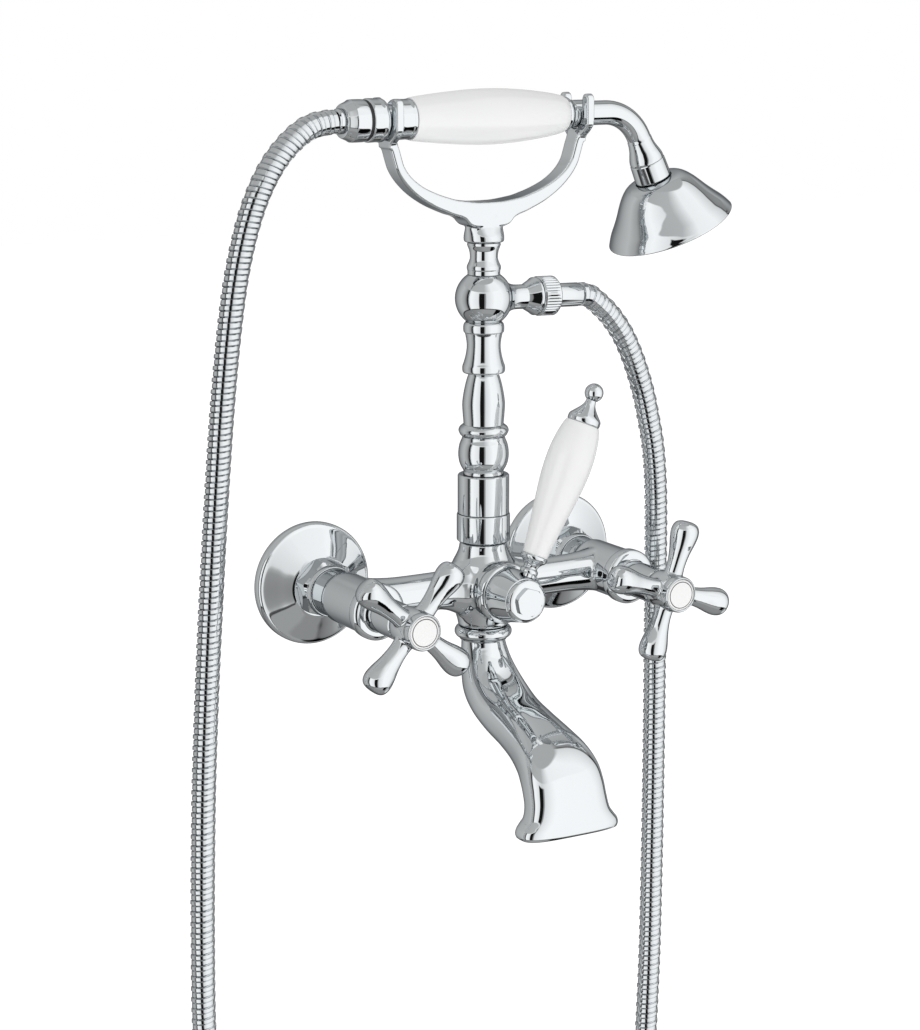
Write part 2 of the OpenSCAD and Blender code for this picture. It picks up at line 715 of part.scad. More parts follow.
module riser_column() {
    bead_z = column_z + bulb_h;
    baluster_z = bead_z + bead_h;
    waist_z = baluster_z + baluster_h;
    waist_top_z = waist_z + waist_top_share * waist_h;
    color(chrome) at_riser() difference() {
        turned(concat(
            smooth(outline(bulb_shares, bulb_r, bulb_h, column_z), 2),
            smooth(outline(bead_shares, bead_r, bead_h, bead_z), 2),
            smooth(outline(baluster_shares, baluster_r, baluster_h, baluster_z), 2),
            smooth(outline(waist_shares, waist_r, waist_h, waist_z), 2),
            smooth(outline(waist_top_shares, waist_r, column_top - seam - waist_top_z, waist_top_z), 2)),
            riser_way_r);
    }
}

stub_x = outlet_x - 7.6;
outlet_thread_r = 8.4;
outlet_thread_l = 5;
outlet_way_r = 4.5;
tee_foot_share = 0.62;

module outlet_tee() {
    color(chrome) at_riser() difference() {
        union() {
            translate([0, 0, tee_z]) sphere(r = ball_r);
            translate([0, 0, column_top]) cylinder(r = tee_foot_share * ball_r, h = ball_r / 2);
            translate([0, 0, tee_z]) rotate([0, 90 + outlet_droop, 0]) {
                cylinder(r = stub_r, h = outlet_x);
                translate([0, 0, stub_x]) turned([[stub_r, 0], [flange_r - edge, stub_cone_l], [flange_r, stub_cone_l + edge],
                    [flange_r, outlet_x - stub_x - edge], [flange_r - edge, outlet_x - stub_x]]);
                translate([0, 0, outlet_x - edge]) cylinder(r = outlet_thread_r, h = outlet_thread_l + edge);
            }
        }
        translate([0, 0, column_top - overrun]) cylinder(r = riser_way_r, h = tee_z - column_top + overrun);
        translate([0, 0, tee_z]) rotate([0, 90 + outlet_droop, 0]) cylinder(r = outlet_way_r, h = outlet_x + outlet_thread_l + overrun);
        translate([0, 0, tee_z + tee_top_share * ball_r])
            cylinder(r = neck_stud_r + running, h = ball_r);
        translate([0, 0, tee_z + tee_cut_share * ball_r]) cylinder(r = ball_r, h = ball_r);
        translate([0, 0, column_top - ball_r]) cylinder(r = ball_r, h = ball_r);
    }
}

stub_cone_l = 5.4;
tee_top_share = 0.45;
tee_cut_share = 0.82;
neck_stud_r = 4.6;
neck_z = tee_z + tee_cut_share * ball_r;
neck_drop = 62.8;
neck_top = handset_z - neck_drop;
cradle_z = neck_top + rest_gap;
pin_r = 4;
pin_h = 9;
// Shares of the cradle neck's thinnest radius, and of its height
neck_shares = [[1.16, 0], [1.17, 0.12], [1.21, 0.18], [1.2, 0.27], [1.09, 0.38], [1, 0.5], [1, 0.63],
    [1.05, 0.76], [1.15, 0.88], [1.19, 0.94], [1.17, 1]];

module cradle_neck() {
    color(chrome) at_riser() difference() {
        union() {
            turned(outline(neck_shares, neck_r, neck_top - neck_z - seam, neck_z + seam));
            translate([0, 0, tee_z + tee_top_share * ball_r + edge]) cylinder(r = neck_stud_r, h = ball_r / 2);
        }
        translate([0, 0, neck_top - pin_h - edge]) cylinder(r = pin_r + running, h = pin_h + overrun + edge);
    }
}

// The hose outlet and the hose

nut_x = outlet_x + seam;
knurls = 40;
ferrule_end_x = 57;
hose_lip_t = 2.6;
barb_r = 5.6;

// A fine knurl: a ring of teeth on the given radius
function knurl(r, n) = [for (k = [0 : 2 * n - 1])
    (k % 2 == 0 ? r : r * knurl_root_share) * [cos(180 * k / n), sin(180 * k / n)]];
knurl_root_share = 0.955;

module hose_nut() {
    color(chrome) at_outlet() translate([0, 0, nut_x]) difference() {
        union() {
            cylinder(r = hose_nut_r * knurl_root_share, h = hose_nut_l);
            translate([0, 0, 2 * edge]) linear_extrude(hose_nut_l - 5 * edge) polygon(knurl(hose_nut_r, knurls));
            translate([0, 0, hose_nut_l - 2 * edge])
                cylinder(r1 = hose_nut_r - edge, r2 = hose_nut_r - 2 * edge, h = 2 * edge);
        }
        translate([0, 0, -overrun]) cylinder(r = outlet_thread_r + running, h = hose_nut_l - hose_lip_t + overrun);
        cylinder(r = barb_r + rest_gap, h = hose_nut_l + overrun);
    }
}

module hose_washer() {
    color(rubber) at_outlet()
        translate([0, 0, outlet_x + outlet_thread_l]) ring(outlet_thread_r - edge, outlet_way_r, edge);
}

// The ferrule: flange inside the nut, neck through its lip, sleeve over the hose's end
module ferrule_body(flange_x, nut_end, end) {
    flange = outlet_thread_r - edge;
    difference() {
        union() {
            translate([0, 0, flange_x]) cylinder(r = flange, h = nut_end - hose_lip_t - flange_x - seam);
            translate([0, 0, flange_x]) cylinder(r = barb_r, h = end - flange_x - edge);
            translate([0, 0, nut_end + seam]) turned([[ferrule_r, 0], [ferrule_r, edge],
                [ferrule_r - edge / 2, 2 * edge], [ferrule_r - edge / 2, end - nut_end - seam - 2 * edge],
                [ferrule_r - edge, end - nut_end - seam]]);
        }
        translate([0, 0, flange_x - overrun]) cylinder(r = outlet_way_r, h = end);
    }
}

module hose_ferrule() {
    color(chrome) at_outlet()
        ferrule_body(outlet_x + outlet_thread_l + edge, nut_x + hose_nut_l, ferrule_end_x);
}

// Route of the hose's middle, in the part's own frame: from the outlet down, round the hanging
// loop and up to the hand shower. Every point lies in the riser's plane.
hose_y = -51.2;
hose_route = [[57.4, 139.4], [60.2, 139.25], [64.2, 137.9], [69, 134.3], [76, 128], [84, 118], [90, 107], [95, 95], [99, 83], [102, 71],
    [105, 57], [107, 40], [108, 18], [108.5, -30], [109, -100], [109, -180], [108, -250],
    [104, -320], [93, -384], [70, -432], [34, -464], [-8, -474], [-52, -468], [-92, -444], [-124, -404],
    [-146, -350], [-158, -290], [-163, -230], [-163, -170], [-161, -100], [-158, -45], [-154.5, 5],
    [-150.5, 55], [-146, 103], [-141, 142], [-136, 168], [-129, 191], [-120, 209], [-109, 222],
    [-97, 230], [-84.2, 232]];
ribs = 150;
ring_sides = 8;
rib_root_share = 0.87;
rib_crest_share = 0.62;
bore_rings = 60;

// Length of the route up to each of its points
function run_lengths(p, i = 0, sum = 0, out = [0]) =
    i >= len(p) - 1 ? out
    : let (s = sum + norm(p[i + 1] - p[i])) run_lengths(p, i + 1, s, concat(out, [s]));
function place(p, lengths, s, i = 0) =
    i >= len(p) - 2 || s <= lengths[i + 1]
    ? let (t = (s - lengths[i]) / (lengths[i + 1] - lengths[i])) p[i] + t * (p[i + 1] - p[i])
    : place(p, lengths, s, i + 1);
hose_path = smooth(hose_route, 6);
hose_runs = run_lengths(hose_path);
hose_l = hose_runs[len(hose_runs) - 1];
function hose_at(s) = place(hose_path, hose_runs, max(0, min(hose_l, s)));
function hose_dir(s) = let (v = hose_at(s + hose_d / 4) - hose_at(s - hose_d / 4)) v / norm(v);
function hose_ring(s, r) = let (c = hose_at(s), d = hose_dir(s)) [for (k = [0 : ring_sides - 1])
    let (a = 360 * k / ring_sides)
    [c[0] + r * cos(a) * d[1], hose_y + r * sin(a), c[1] - r * cos(a) * d[0]]];

module shower_hose() {
    pitch = hose_l / ribs;
    // Each rib is a flat crest between two narrow roots; the bore runs back inside
    rows = concat([[0, hose_d / 2 * rib_root_share]],
        [for (i = [0 : ribs - 1]) for (j = [0, 1])
            [(i + (j == 0 ? (1 - rib_crest_share) / 2 : (1 + rib_crest_share) / 2)) * pitch,
             hose_d / 2 * (j == 0 ? 1 : rib_root_share)]],
        [[hose_l, hose_d / 2 * rib_root_share]],
        [for (i = [bore_rings : -1 : 0]) [hose_l * i / bore_rings, hose_bore / 2]]);
    n = len(rows);
    points = [for (w = rows) each hose_ring(w[0], w[1])];
    faces = [for (i = [0 : n - 1]) for (k = [0 : ring_sides - 1])
        let (a = i * ring_sides + k, b = i * ring_sides + (k + 1) % ring_sides,
            c = ((i + 1) % n) * ring_sides + k, d = ((i + 1) % n) * ring_sides + (k + 1) % ring_sides)
        each [[a, c, b], [b, c, d]]];
    color(chrome) polyhedron(points = points, faces = faces);
}

// The spout

ring_z = boss_z + rest_gap;
spout_ring_h = 7;
// Shares of the spout ring's radius and height, from its top down
spout_ring_shares = [[0.86, 0], [0.94, 0.1], [0.985, 0.26], [1, 0.42], [0.985, 0.6], [0.93, 0.76],
    [0.85, 0.88], [0.82, 1]];
spout_z = ring_z + spout_ring_h + rest_gap;
spigot_top = boss_z - spout_spigot_h + edge;
spout_plug_t = 4;

module spout_ring() {
    color(chrome) at_riser() mirror([0, 0, 1])
        turned(smooth(outline(spout_ring_shares, spout_ring_r, spout_ring_h, ring_z), 2),
            spout_spigot_r + running);
}

// The spout's stations: share of the way out, share of the drop, turn of the section in degrees
// from level, share of the widening to the mouth, half depth as a share of the top's radius
spout_shares = [
    [0, 0, 0, 0, 1], [0.012, 0.062, 8, 0.04, 1.03], [0.043, 0.16, 22, 0.13, 1.06], [0.103, 0.265, 40, 0.24, 1.1],
    [0.203, 0.348, 58, 0.29, 1.08], [0.35, 0.42, 69, 0.295, 1.03], [0.53, 0.474, 72, 0.32, 1],
    [0.69, 0.526, 69, 0.39, 1], [0.825, 0.586, 57, 0.5, 1.01], [0.91, 0.655, 39, 0.58, 1.01],
    [0.955, 0.73, 24, 0.61, 0.99], [0.982, 0.81, 14, 0.635, 0.95], [0.994, 0.88, 6, 0.71, 0.92],
    [1, 0.92, 0, 0.85, 0.9], [1, 0.95, 0, 0.96, 0.89], [1, 0.98, 0, 1, 0.89], [1, 1, 0, 0.98, 0.87]];
spout_sides = 28;
// Power of the section's rounded outline at the mouth: 2 is an ellipse, more is squarer
spout_power_share = 3.6;

function spow(v, p) = sign(v) * pow(abs(v), p);
function spout_ring_at(st, inset) = [for (k = [0 : spout_sides - 1])
    let (a = 360 * k / spout_sides, tilt = st[2],
        power = 2 + (spout_power_share - 2) * st[3],
        wide = spout_top_r + (mouth_w / 2 - spout_top_r) * st[3] - inset,
        deep = spout_top_r * st[4] - inset,
        u = spow(cos(a), 2 / power) * wide, v = spow(sin(a), 2 / power) * deep)
    [u, -spout_out * st[0] + v * cos(tilt),
        -spout_z - (spout_drop - spout_z) * st[1] - v * sin(tilt)]];

module spout() {
    n = len(spout_shares);
    rows = concat([for (st = spout_shares) spout_ring_at(st, 0)],
        [for (i = [n - 1 : -1 : 0]) spout_ring_at(spout_shares[i], spout_wall)]);
    m = len(rows);
    faces = [for (i = [0 : m - 1]) for (k = [0 : spout_sides - 1])
        let (a = i * spout_sides + k, b = i * spout_sides + (k + 1) % spout_sides,
            c = ((i + 1) % m) * spout_sides + k, d = ((i + 1) % m) * spout_sides + (k + 1) % spout_sides)
        each [[a, b, c], [b, d, c]]];
    color(chrome) at_riser() {
        polyhedron(points = [for (r = rows) each r], faces = faces);
        difference() {
            union() {
                translate([0, 0, -spout_z]) cylinder(r = spout_spigot_r, h = spout_z - spigot_top);
                translate([0, 0, -spout_z - spout_plug_t])
                    cylinder(r = spout_top_r - spout_wall / 2, h = spout_plug_t + rest_gap / 2);
            }
            translate([0, 0, -spout_z - spout_plug_t - overrun]) cylinder(r = riser_way_r + edge, h = spout_z);
            for (k = [1, 2]) translate([0, 0, -spigot_top - k * spout_spigot_h / 3])
                rotate_extrude() translate([spout_spigot_r, 0]) circle(r = o_ring_r, $fn = 24);
        }
    }
}

module spout_o_rings() {
    color(rubber) at_riser() for (k = [1, 2])
        translate([0, 0, -spigot_top - k * spout_spigot_h / 3]) o_rings(spout_spigot_r);
}

// The cradle

// The strap's right half, as shares: distance to the saddle, height from the strap's lowest line
// to the foot of the saddle, and what the strap gains in depth underneath
strap_shares = [[0, 0.151, 0.8], [0.19, 0.165, 0.78], [0.375, 0.21, 0.6], [0.56, 0.3, 0.42],
    [0.72, 0.415, 0.2], [0.84, 0.555, 0.05], [0.913, 0.7, 0], [0.945, 0.85, 0], [0.955, 1, 0]];
// Shares of the strap's half width, seen from above, and of the distance to the saddle
strap_width_shares = [[1.22, -0.02], [1.22, 0.12], [1.19, 0.3], [1.1, 0.5], [1.02, 0.68], [1, 0.8], [1, 1.1]];
saddle_drop = 13;
saddle_foot = handset_z - saddle_drop;
strap_mid_z = strap_z + strap_shares[0][1] * (saddle_foot - strap_z);
saddle_flare_h = 7;
notch_r = tail_tube_r + rest_gap;

function strap_mid() = smooth([for (s = strap_shares)
    [s[0] * saddle_x, strap_z + s[1] * (saddle_foot - strap_z), s[2] * strap_t]], 4);
function normals(p) = [for (i = [0 : len(p) - 1])
    let (d = p[min(i + 1, len(p) - 1)] - p[max(i - 1, 0)]) [-d[1], d[0]] / norm([d[0], d[1]])];

module strap_half() {
    mid = strap_mid();
    n = normals(mid);
    inner = [for (i = [0 : len(mid) - 1]) [mid[i][0], mid[i][1]] + n[i] * strap_t / 2];
    outer = [for (i = [len(mid) - 1 : -1 : 0]) [mid[i][0], mid[i][1]] - n[i] * (strap_t / 2 + mid[i][2])];
    width = smooth([for (s = strap_width_shares) [s[1] * saddle_x, s[0] * strap_w / 2]], 2);
    intersection() {
        translate([0, strap_w, 0]) out_of_wall() linear_extrude(2 * strap_w) polygon(concat(inner, outer));
        translate([0, 0, strap_z - strap_t]) linear_extrude(handset_z - strap_z) polygon(concat(
            width, [for (i = [len(width) - 1 : -1 : 0]) [width[i][0], -width[i][1]]]));
    }
}

// Shares of a saddle's half width, and of its height from the strap to the top of its tines
saddle_shares = [[0.44, -0.03], [0.445, 0.03], [0.52, 0.1], [0.74, 0.19], [0.93, 0.3], [1, 0.42], [1, 0.88]];

// A saddle seen from the side: it spreads from the strap to two tines around the notch
module saddle_shape() {
    tine_t = tine_span / 2 - notch_r;
    foot = -saddle_drop;
    side = smooth([for (s = saddle_shares)
        [s[0] * tine_span / 2, foot + s[1] * (tine_rise - foot)]], 3);
    difference() {
        union() {
            polygon(concat(side, [for (i = [len(side) - 1 : -1 : 0]) [-side[i][0], side[i][1]]]));
            for (s = [left, right]) translate([s * (tine_span - tine_t) / 2, tine_rise - tine_t / 2])
                circle(d = tine_t, $fn = 24);
        }
        circle(r = notch_r);
        translate([-notch_r, 0]) square([2 * notch_r, tine_rise + overrun]);
    }
}

// Shares of the cradle's foot: radius of the neck's rim, height up to its crown inside the strap
foot_shares = [[1, 0], [1.13, 0.11], [1.22, 0.24], [1.24, 0.45], [1.25, 0.6], [1.2, 0.76], [1.05, 0.89],
    [0.75, 0.97], [0.4, 1]];

module cradle() {
    foot_r = neck_r * neck_shares[9][0];
    color(chrome) at_riser() {
        turned(smooth(outline(foot_shares, foot_r, strap_mid_z - cradle_z, cradle_z), 2));
        translate([0, 0, neck_top - pin_h]) cylinder(r = pin_r, h = pin_h + rest_gap + edge);
        for (s = [0, 1]) mirror([s, 0, 0]) {
            strap_half();
            translate([saddle_x - saddle_t / 2, 0, handset_z]) rotate([90, 0, 90])
                linear_extrude(saddle_t) saddle_shape();
        }
    }
}

// The hand shower, drawn from left to right along its own axis

hs_ferrule_end = -83.6;
hs_nut_x = -80.6;
hs_o_ring_x = -68.6;
hs_o_ring_t = 1.4;
hs_nut_end = -saddle_x - saddle_t / 2 - rest_gap;
end_cap_x = -saddle_x + saddle_t / 2 + 2 * rest_gap;
end_cap_l = 9.4;
grip_x = end_cap_x + end_cap_l + seam;
front_cap_x = grip_x + grip_l + seam;
front_cap_l = 4.6;
neck_x = front_cap_x + front_cap_l + seam;
hs_nut_r = 10.7;
hs_thread_r = 8.6;
core_r = 5;
core_bore_r = 3.6;

// Shares of the hose nut's radius and length, from the hose's side
hs_hose_nut_shares = [[0.72, 0], [0.78, 0.03], [0.86, 0.2], [0.94, 0.36], [0.97, 0.42], [0.97, 0.9], [0.94, 1]];

module handset_hose_ferrule() {
    color(chrome) at_handset() difference() {
        union() {
            translate([0, 0, hs_ferrule_end]) turned([[ferrule_r - 2 * edge, 0], [ferrule_r - edge / 2, edge],
                [ferrule_r - edge / 2, hs_nut_x - hs_ferrule_end - seam]]);
            translate([0, 0, hs_ferrule_end + edge])
                cylinder(r = barb_r, h = hs_o_ring_x - hs_ferrule_end - edge - seam);
        }
        translate([0, 0, hs_ferrule_end - overrun]) cylinder(r = outlet_way_r, h = -hs_ferrule_end);
    }
}

module handset_hose_nut() {
    color(chrome) at_handset()
        turned(outline(hs_hose_nut_shares, hs_nut_r, hs_o_ring_x - hs_nut_x, hs_nut_x), barb_r + running);
}

module handset_o_ring() {
    color(rubber) at_handset() translate([0, 0, hs_o_ring_x + running])
        ring(hs_nut_r - edge, core_r + edge, hs_o_ring_t - 2 * running);
}

// Shares of the inner nut's radius and length
hs_nut_shares = [[0.95, 0], [1, 0.06], [1, 0.2], [0.965, 0.25], [0.965, 0.35], [1, 0.4], [1, 0.72], [0.94, 0.88],
    [0.8, 1]];

module handset_nut() {
    color(chrome) at_handset()
        turned(outline(hs_nut_shares, hs_nut_r, hs_nut_end - hs_o_ring_x - hs_o_ring_t, hs_o_ring_x + hs_o_ring_t),
            core_r + running);
}

// One tube from the hose nut through the saddle and the grip to the neck
module handset_tube() {
    color(chrome) at_handset() difference() {
        union() {
            translate([0, 0, hs_o_ring_x]) cylinder(r = core_r, h = neck_x - hs_o_ring_x);
            translate([0, 0, hs_nut_end + running]) cylinder(r = tail_tube_r, h = end_cap_x - hs_nut_end - 2 * running);
        }
        translate([0, 0, hs_o_ring_x - overrun]) cylinder(r = core_bore_r, h = neck_x - hs_o_ring_x + 2 * overrun);
    }
}

// Shares of the grip's largest radius and its length
grip_shares = [[0.745, 0], [0.77, 0.015], [0.83, 0.09], [0.91, 0.22], [0.975, 0.36], [1, 0.48], [0.985, 0.6],
    [0.92, 0.74], [0.82, 0.87], [0.72, 0.96], [0.66, 0.99], [0.63, 1]];

module handset_grip() {
    color(porcelain) at_handset()
        turned(smooth(outline(grip_shares, grip_r, grip_l, grip_x), 3), core_r + running);
}

end_cap_shares = [[0.86, 0], [0.97, 0.08], [1, 0.2], [0.99, 0.5], [0.985, 0.75], [1, 0.86], [1, 0.97], [0.97, 1]];
end_cap_r = 10;

module grip_end_cap() {
    color(chrome) at_handset() turned(outline(end_cap_shares, end_cap_r, end_cap_l, end_cap_x), core_r + running);
}

front_cap_shares = [[1, 0], [1, 0.3], [0.94, 0.5], [0.84, 0.7], [0.8, 1]];
front_cap_r = 8.6;

module grip_front_cap() {
    color(chrome) at_handset()
        turned(outline(front_cap_shares, front_cap_r, front_cap_l, front_cap_x), core_r + running);
}

neck_straight = 72;
flare_l = 12.6;
flare_r = 9;
neck_wall = 1.6;
neck_collar_r = tail_tube_r - rest_gap;
// Shares of the flared socket's radius gain and length; it starts on the bend's last millimetre
flare_shares = [[0.1, -0.08], [0.1, 0.08], [0.17, 0.24], [0.36, 0.44], [0.64, 0.62], [0.9, 0.8], [1, 0.92], [1, 1]];
socket_bore_r = 5;

// Puts what is drawn upright at the end of the bent neck, pointing along it
module at_neck_end() at_riser()
    translate([neck_straight, 0, handset_z - neck_bend_r]) rotate([0, neck_angle, 0])
    translate([0, 0, neck_bend_r]) rotate([0, 90, 0]) children();

// The bend: a hollow ring cut to the wedge that the neck turns through
module neck_bend() at_riser() translate([neck_straight, 0, handset_z - neck_bend_r]) out_of_wall()
    intersection() {
        rotate_extrude($fn = 120) translate([neck_bend_r, 0]) difference() {
            circle(r = handset_neck_r, $fn = 48);
            circle(r = handset_neck_r - neck_wall, $fn = 48);
        }
        translate([0, 0, -neck_bend_r]) linear_extrude(2 * neck_bend_r)
            polygon(3 * neck_bend_r * [[0, 0], [0, 1], [sin(neck_angle), cos(neck_angle)]]);
    }

module handset_neck() {
    flare = [for (s = smooth(flare_shares, 2))
        [handset_neck_r + s[0] * (flare_r - handset_neck_r), s[1] * flare_l]];
    collar_l = saddle_x + saddle_t - neck_x;
    color(chrome) {
        at_handset() translate([0, 0, neck_x]) turned([[neck_collar_r, 0], [neck_collar_r, collar_l],
            [handset_neck_r, collar_l], [handset_neck_r, neck_straight - neck_x]],
            handset_neck_r - neck_wall);
        neck_bend();
        at_neck_end() turned(flare, socket_bore_r);
    }
}

rose_nut_l = 10.4;
rose_z = flare_l + seam + rose_nut_l + seam;
plate_t = 1.6;
plate_inset = 2.2;
gasket_t = 1.2;
inlet_r = 6.4;

module rose_nut() {
    color(chrome) at_neck_end() translate([0, 0, flare_l + seam])
        turned([[flare_r, 0], [flare_r + edge / 2, edge], [flare_r + edge, rose_nut_l - edge],
            [flare_r, rose_nut_l]], inlet_r);
}

// Shares of the rose's radius and height, outside, from the nut down
rose_shares = [[0.29, 0], [0.37, 0.01], [0.45, 0.04], [0.53, 0.12], [0.61, 0.24], [0.685, 0.38], [0.757, 0.52],
    [0.837, 0.66], [0.91, 0.78], [0.96, 0.88], [0.985, 0.94], [1, 0.98], [0.985, 1]];

module rose() {
    outer = smooth(outline(rose_shares, rose_r, rose_h, 0), 2);
    inner = [for (p = outer) if (p[1] > rose_t && p[0] > inlet_r + rose_t)
        [p[0] - rose_t, p[1] < rose_h - plate_inset ? max(p[1], 2 * rose_t) : rose_h + overrun]];
    color(chrome) at_neck_end() translate([0, 0, rose_z]) difference() {
        turned(outer, inlet_r);
        rotate_extrude() polygon(concat([[0, 2 * rose_t]], [for (p = inner) if (p[1] < rose_h) p],
            [[plate_r + running, rose_h - plate_inset], [plate_r + running, rose_h + overrun],
             [0, rose_h + overrun]]));
    }
}

plate_share = 0.9;
plate_r = rose_r * plate_share;
spray_rings = [1, 2, 3, 4];
spray_count = 8;

module spray_plate() {
    color(chrome) at_neck_end() translate([0, 0, rose_z + rose_h - plate_inset]) difference() {
        cylinder(r = plate_r, h = plate_t);
        for (r = spray_rings) for (k = [0 : spray_count * r - 1]) rotate([0, 0, 360 * k / (spray_count * r)])
            translate([plate_r * r / (len(spray_rings) + 1), 0, -overrun])
            cylinder(r = spray_r, h = plate_t + 2 * overrun, $fn = 16);
    }
}

module rose_gasket() {
    color(rubber) at_neck_end() translate([0, 0, rose_z + rose_h - plate_inset - gasket_t])
        ring(plate_r - edge, plate_r - 4 * edge, gasket_t);
}

wall_union(left);  // wall_union_left
wall_union(right);  // wall_union_right
rosette(left);  // rosette_left
rosette(right);  // rosette_right
coupling_nut(left);  // coupling_nut_left
coupling_nut(right);  // coupling_nut_right
inlet_washers();
mixer_body();
headwork(left);  // hot_headwork
headwork(right);  // cold_headwork
bonnet(left);  // hot_bonnet
bonnet(right);  // cold_bonnet
spindle(left);  // hot_spindle
spindle(right);  // cold_spindle
handle(left, hot_turn);  // hot_handle
handle(right, cold_turn);  // cold_handle
handle_screw(left);  // hot_screw
handle_screw(right);  // cold_screw
index_ring(left);  // hot_index_ring
index_ring(right);  // cold_index_ring
index_disc(left);  // hot_index
index_disc(right);  // cold_index
diverter_cartridge();
diverter_ring();
diverter_spindle();
diverter_drum();
diverter_cap();
lever_rod();
lever_ferrule();
lever_grip();
lever_finial();
riser_collar();
riser_o_rings();
riser_sleeve();
riser_column();
outlet_tee();
cradle_neck();
hose_washer();
hose_nut();
hose_ferrule();
shower_hose();
spout_ring();
spout();
spout_o_rings();
cradle();
handset_hose_ferrule();
handset_hose_nut();
handset_o_ring();
handset_nut();
handset_tube();
grip_end_cap();
handset_grip();
grip_front_cap();
handset_neck();
rose_nut();
rose();
rose_gasket();
spray_plate();
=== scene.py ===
# %% [markdown]
# # A wall-mounted bath mixer with a cradle hand shower
# This lesson dresses a mechanical model of a bath mixer: polished chrome, white porcelain and a
# ribbed metal hose. The model is loaded first and stays where it is. Every visible piece is then
# worked out with numpy as a surface in the same place, and takes over from its plain counterpart.
# Lengths below are in millimetres, heights are counted from the level of the two water inlets,
# and one function turns them into the model's metres.

# %% Load the mechanical model
import math

import bpy
import numpy as np
from mathutils import Matrix


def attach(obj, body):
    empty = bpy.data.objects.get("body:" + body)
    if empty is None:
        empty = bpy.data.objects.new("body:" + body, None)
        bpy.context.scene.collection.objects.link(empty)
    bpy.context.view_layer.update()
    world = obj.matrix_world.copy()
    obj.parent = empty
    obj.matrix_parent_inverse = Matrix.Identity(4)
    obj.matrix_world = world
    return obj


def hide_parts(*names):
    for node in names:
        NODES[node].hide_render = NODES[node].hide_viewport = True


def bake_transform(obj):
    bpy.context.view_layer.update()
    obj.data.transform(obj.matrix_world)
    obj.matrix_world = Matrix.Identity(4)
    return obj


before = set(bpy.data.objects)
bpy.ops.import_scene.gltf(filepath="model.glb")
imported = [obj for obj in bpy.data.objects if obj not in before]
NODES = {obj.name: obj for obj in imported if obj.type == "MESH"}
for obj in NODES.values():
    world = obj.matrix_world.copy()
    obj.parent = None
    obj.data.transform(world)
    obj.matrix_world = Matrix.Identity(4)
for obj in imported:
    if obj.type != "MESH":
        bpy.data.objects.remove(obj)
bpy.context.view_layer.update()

# %% Sizes that many pieces share
MM = 0.001
# The unions in the wall are bent by this throw, which lowers the whole tap
THROW = 8.0
REACH = 51.2
CENTRES = 150.0
TEE_Z = 149.0
HANDSET_Z = 240.0
LEVER_Y = 86.6
LEVER_LEAN = math.radians(23.4)
OUTLET_DROOP = math.radians(1.6)
NECK_ANGLE = math.radians(66.0)
NECK_STRAIGHT = 72.0
NECK_BEND_R = 23.5

# %% [markdown]
# ## The camera
# The photograph looks down a little at the tap from its left. A camera is a place, three axes and
# a focal length. The lens is worked out from the focal length in pixels of a picture that is 1030
# pixels high, because Blender measures a lens against the longer side of a 36 mm film.

# %% Camera
CAMERA_PLACE = (-0.6595, -1.1551, 0.3052)
CAMERA_FORWARD = np.array([0.4935, 0.8439, -0.2102])
FOCAL_PIXELS = 2551.3
PICTURE_HEIGHT = 1030.0
FILM = 36.0


def unit(way):
    """The same direction with length 1."""
    return way / np.linalg.norm(way)


forward = unit(CAMERA_FORWARD)
sideways = unit(np.cross(forward, (0.0, 0.0, 1.0)))
upwards = np.cross(sideways, forward)
camera_data = bpy.data.cameras.new("camera")
camera_data.sensor_fit = "AUTO"
camera_data.sensor_width = FILM
camera_data.lens = FOCAL_PIXELS / PICTURE_HEIGHT * FILM
camera_data.clip_start = 0.01
camera = bpy.data.objects.new("camera", camera_data)
bpy.context.scene.collection.objects.link(camera)
axes = np.stack([sideways, upwards, -forward], axis=1)
camera.matrix_world = Matrix.Translation(CAMERA_PLACE) @ Matrix(axes.tolist()).to_4x4()
bpy.context.scene.camera = camera
print("lens in mm:", round(camera_data.lens, 2))

# %% [markdown]
# ## Tools for surfaces
# Most pieces of a tap are turned on a lathe, so the main tool is a revolve: an outline of radii
# and distances, carried round an axis. Corners of an outline are rounded with short arcs, because
# polished metal shows every edge as a bright line. The normals come from the outline itself, so
# flats stay flat and arcs stay round in the reflections.

# %% Outline helpers
# An arc takes at most this share of the side before or after its corner
SIDE_SHARE = 0.42


def smooth(points, steps=8):
    """Catmull-Rom curve: each span is the cubic through its two ends whose slopes are half the
    distance between the neighbours on either side."""
    p = np.asarray(points, float)
    q = np.vstack([p[:1], p, p[-1:]])
    t = (np.arange(steps) / steps)[None, :, None]
    a, b, c, d = (q[i:len(q) - 3 + i, None, :] for i in range(4))
    curve = (2 * b + (c - a) * t + (2 * a - 5 * b + 4 * c - d) * t ** 2
             + (3 * b - a - 3 * c + d) * t ** 3) / 2
    return np.vstack([curve.reshape(-1, p.shape[1]), p[-1:]])


def shares(table, radius, height, start):
    """Shares of a radius and a height made real: r = share * radius, z = start + share * height."""
    t = np.asarray(table, float)
    return np.stack([t[:, 0] * radius, start + t[:, 1] * height], axis=1)


def turned(table, radius, height, start, steps=4):
    """The usual outline of a turned piece: shares made real, then drawn as a smooth curve."""
    return smooth(shares(table, radius, height, start), steps)


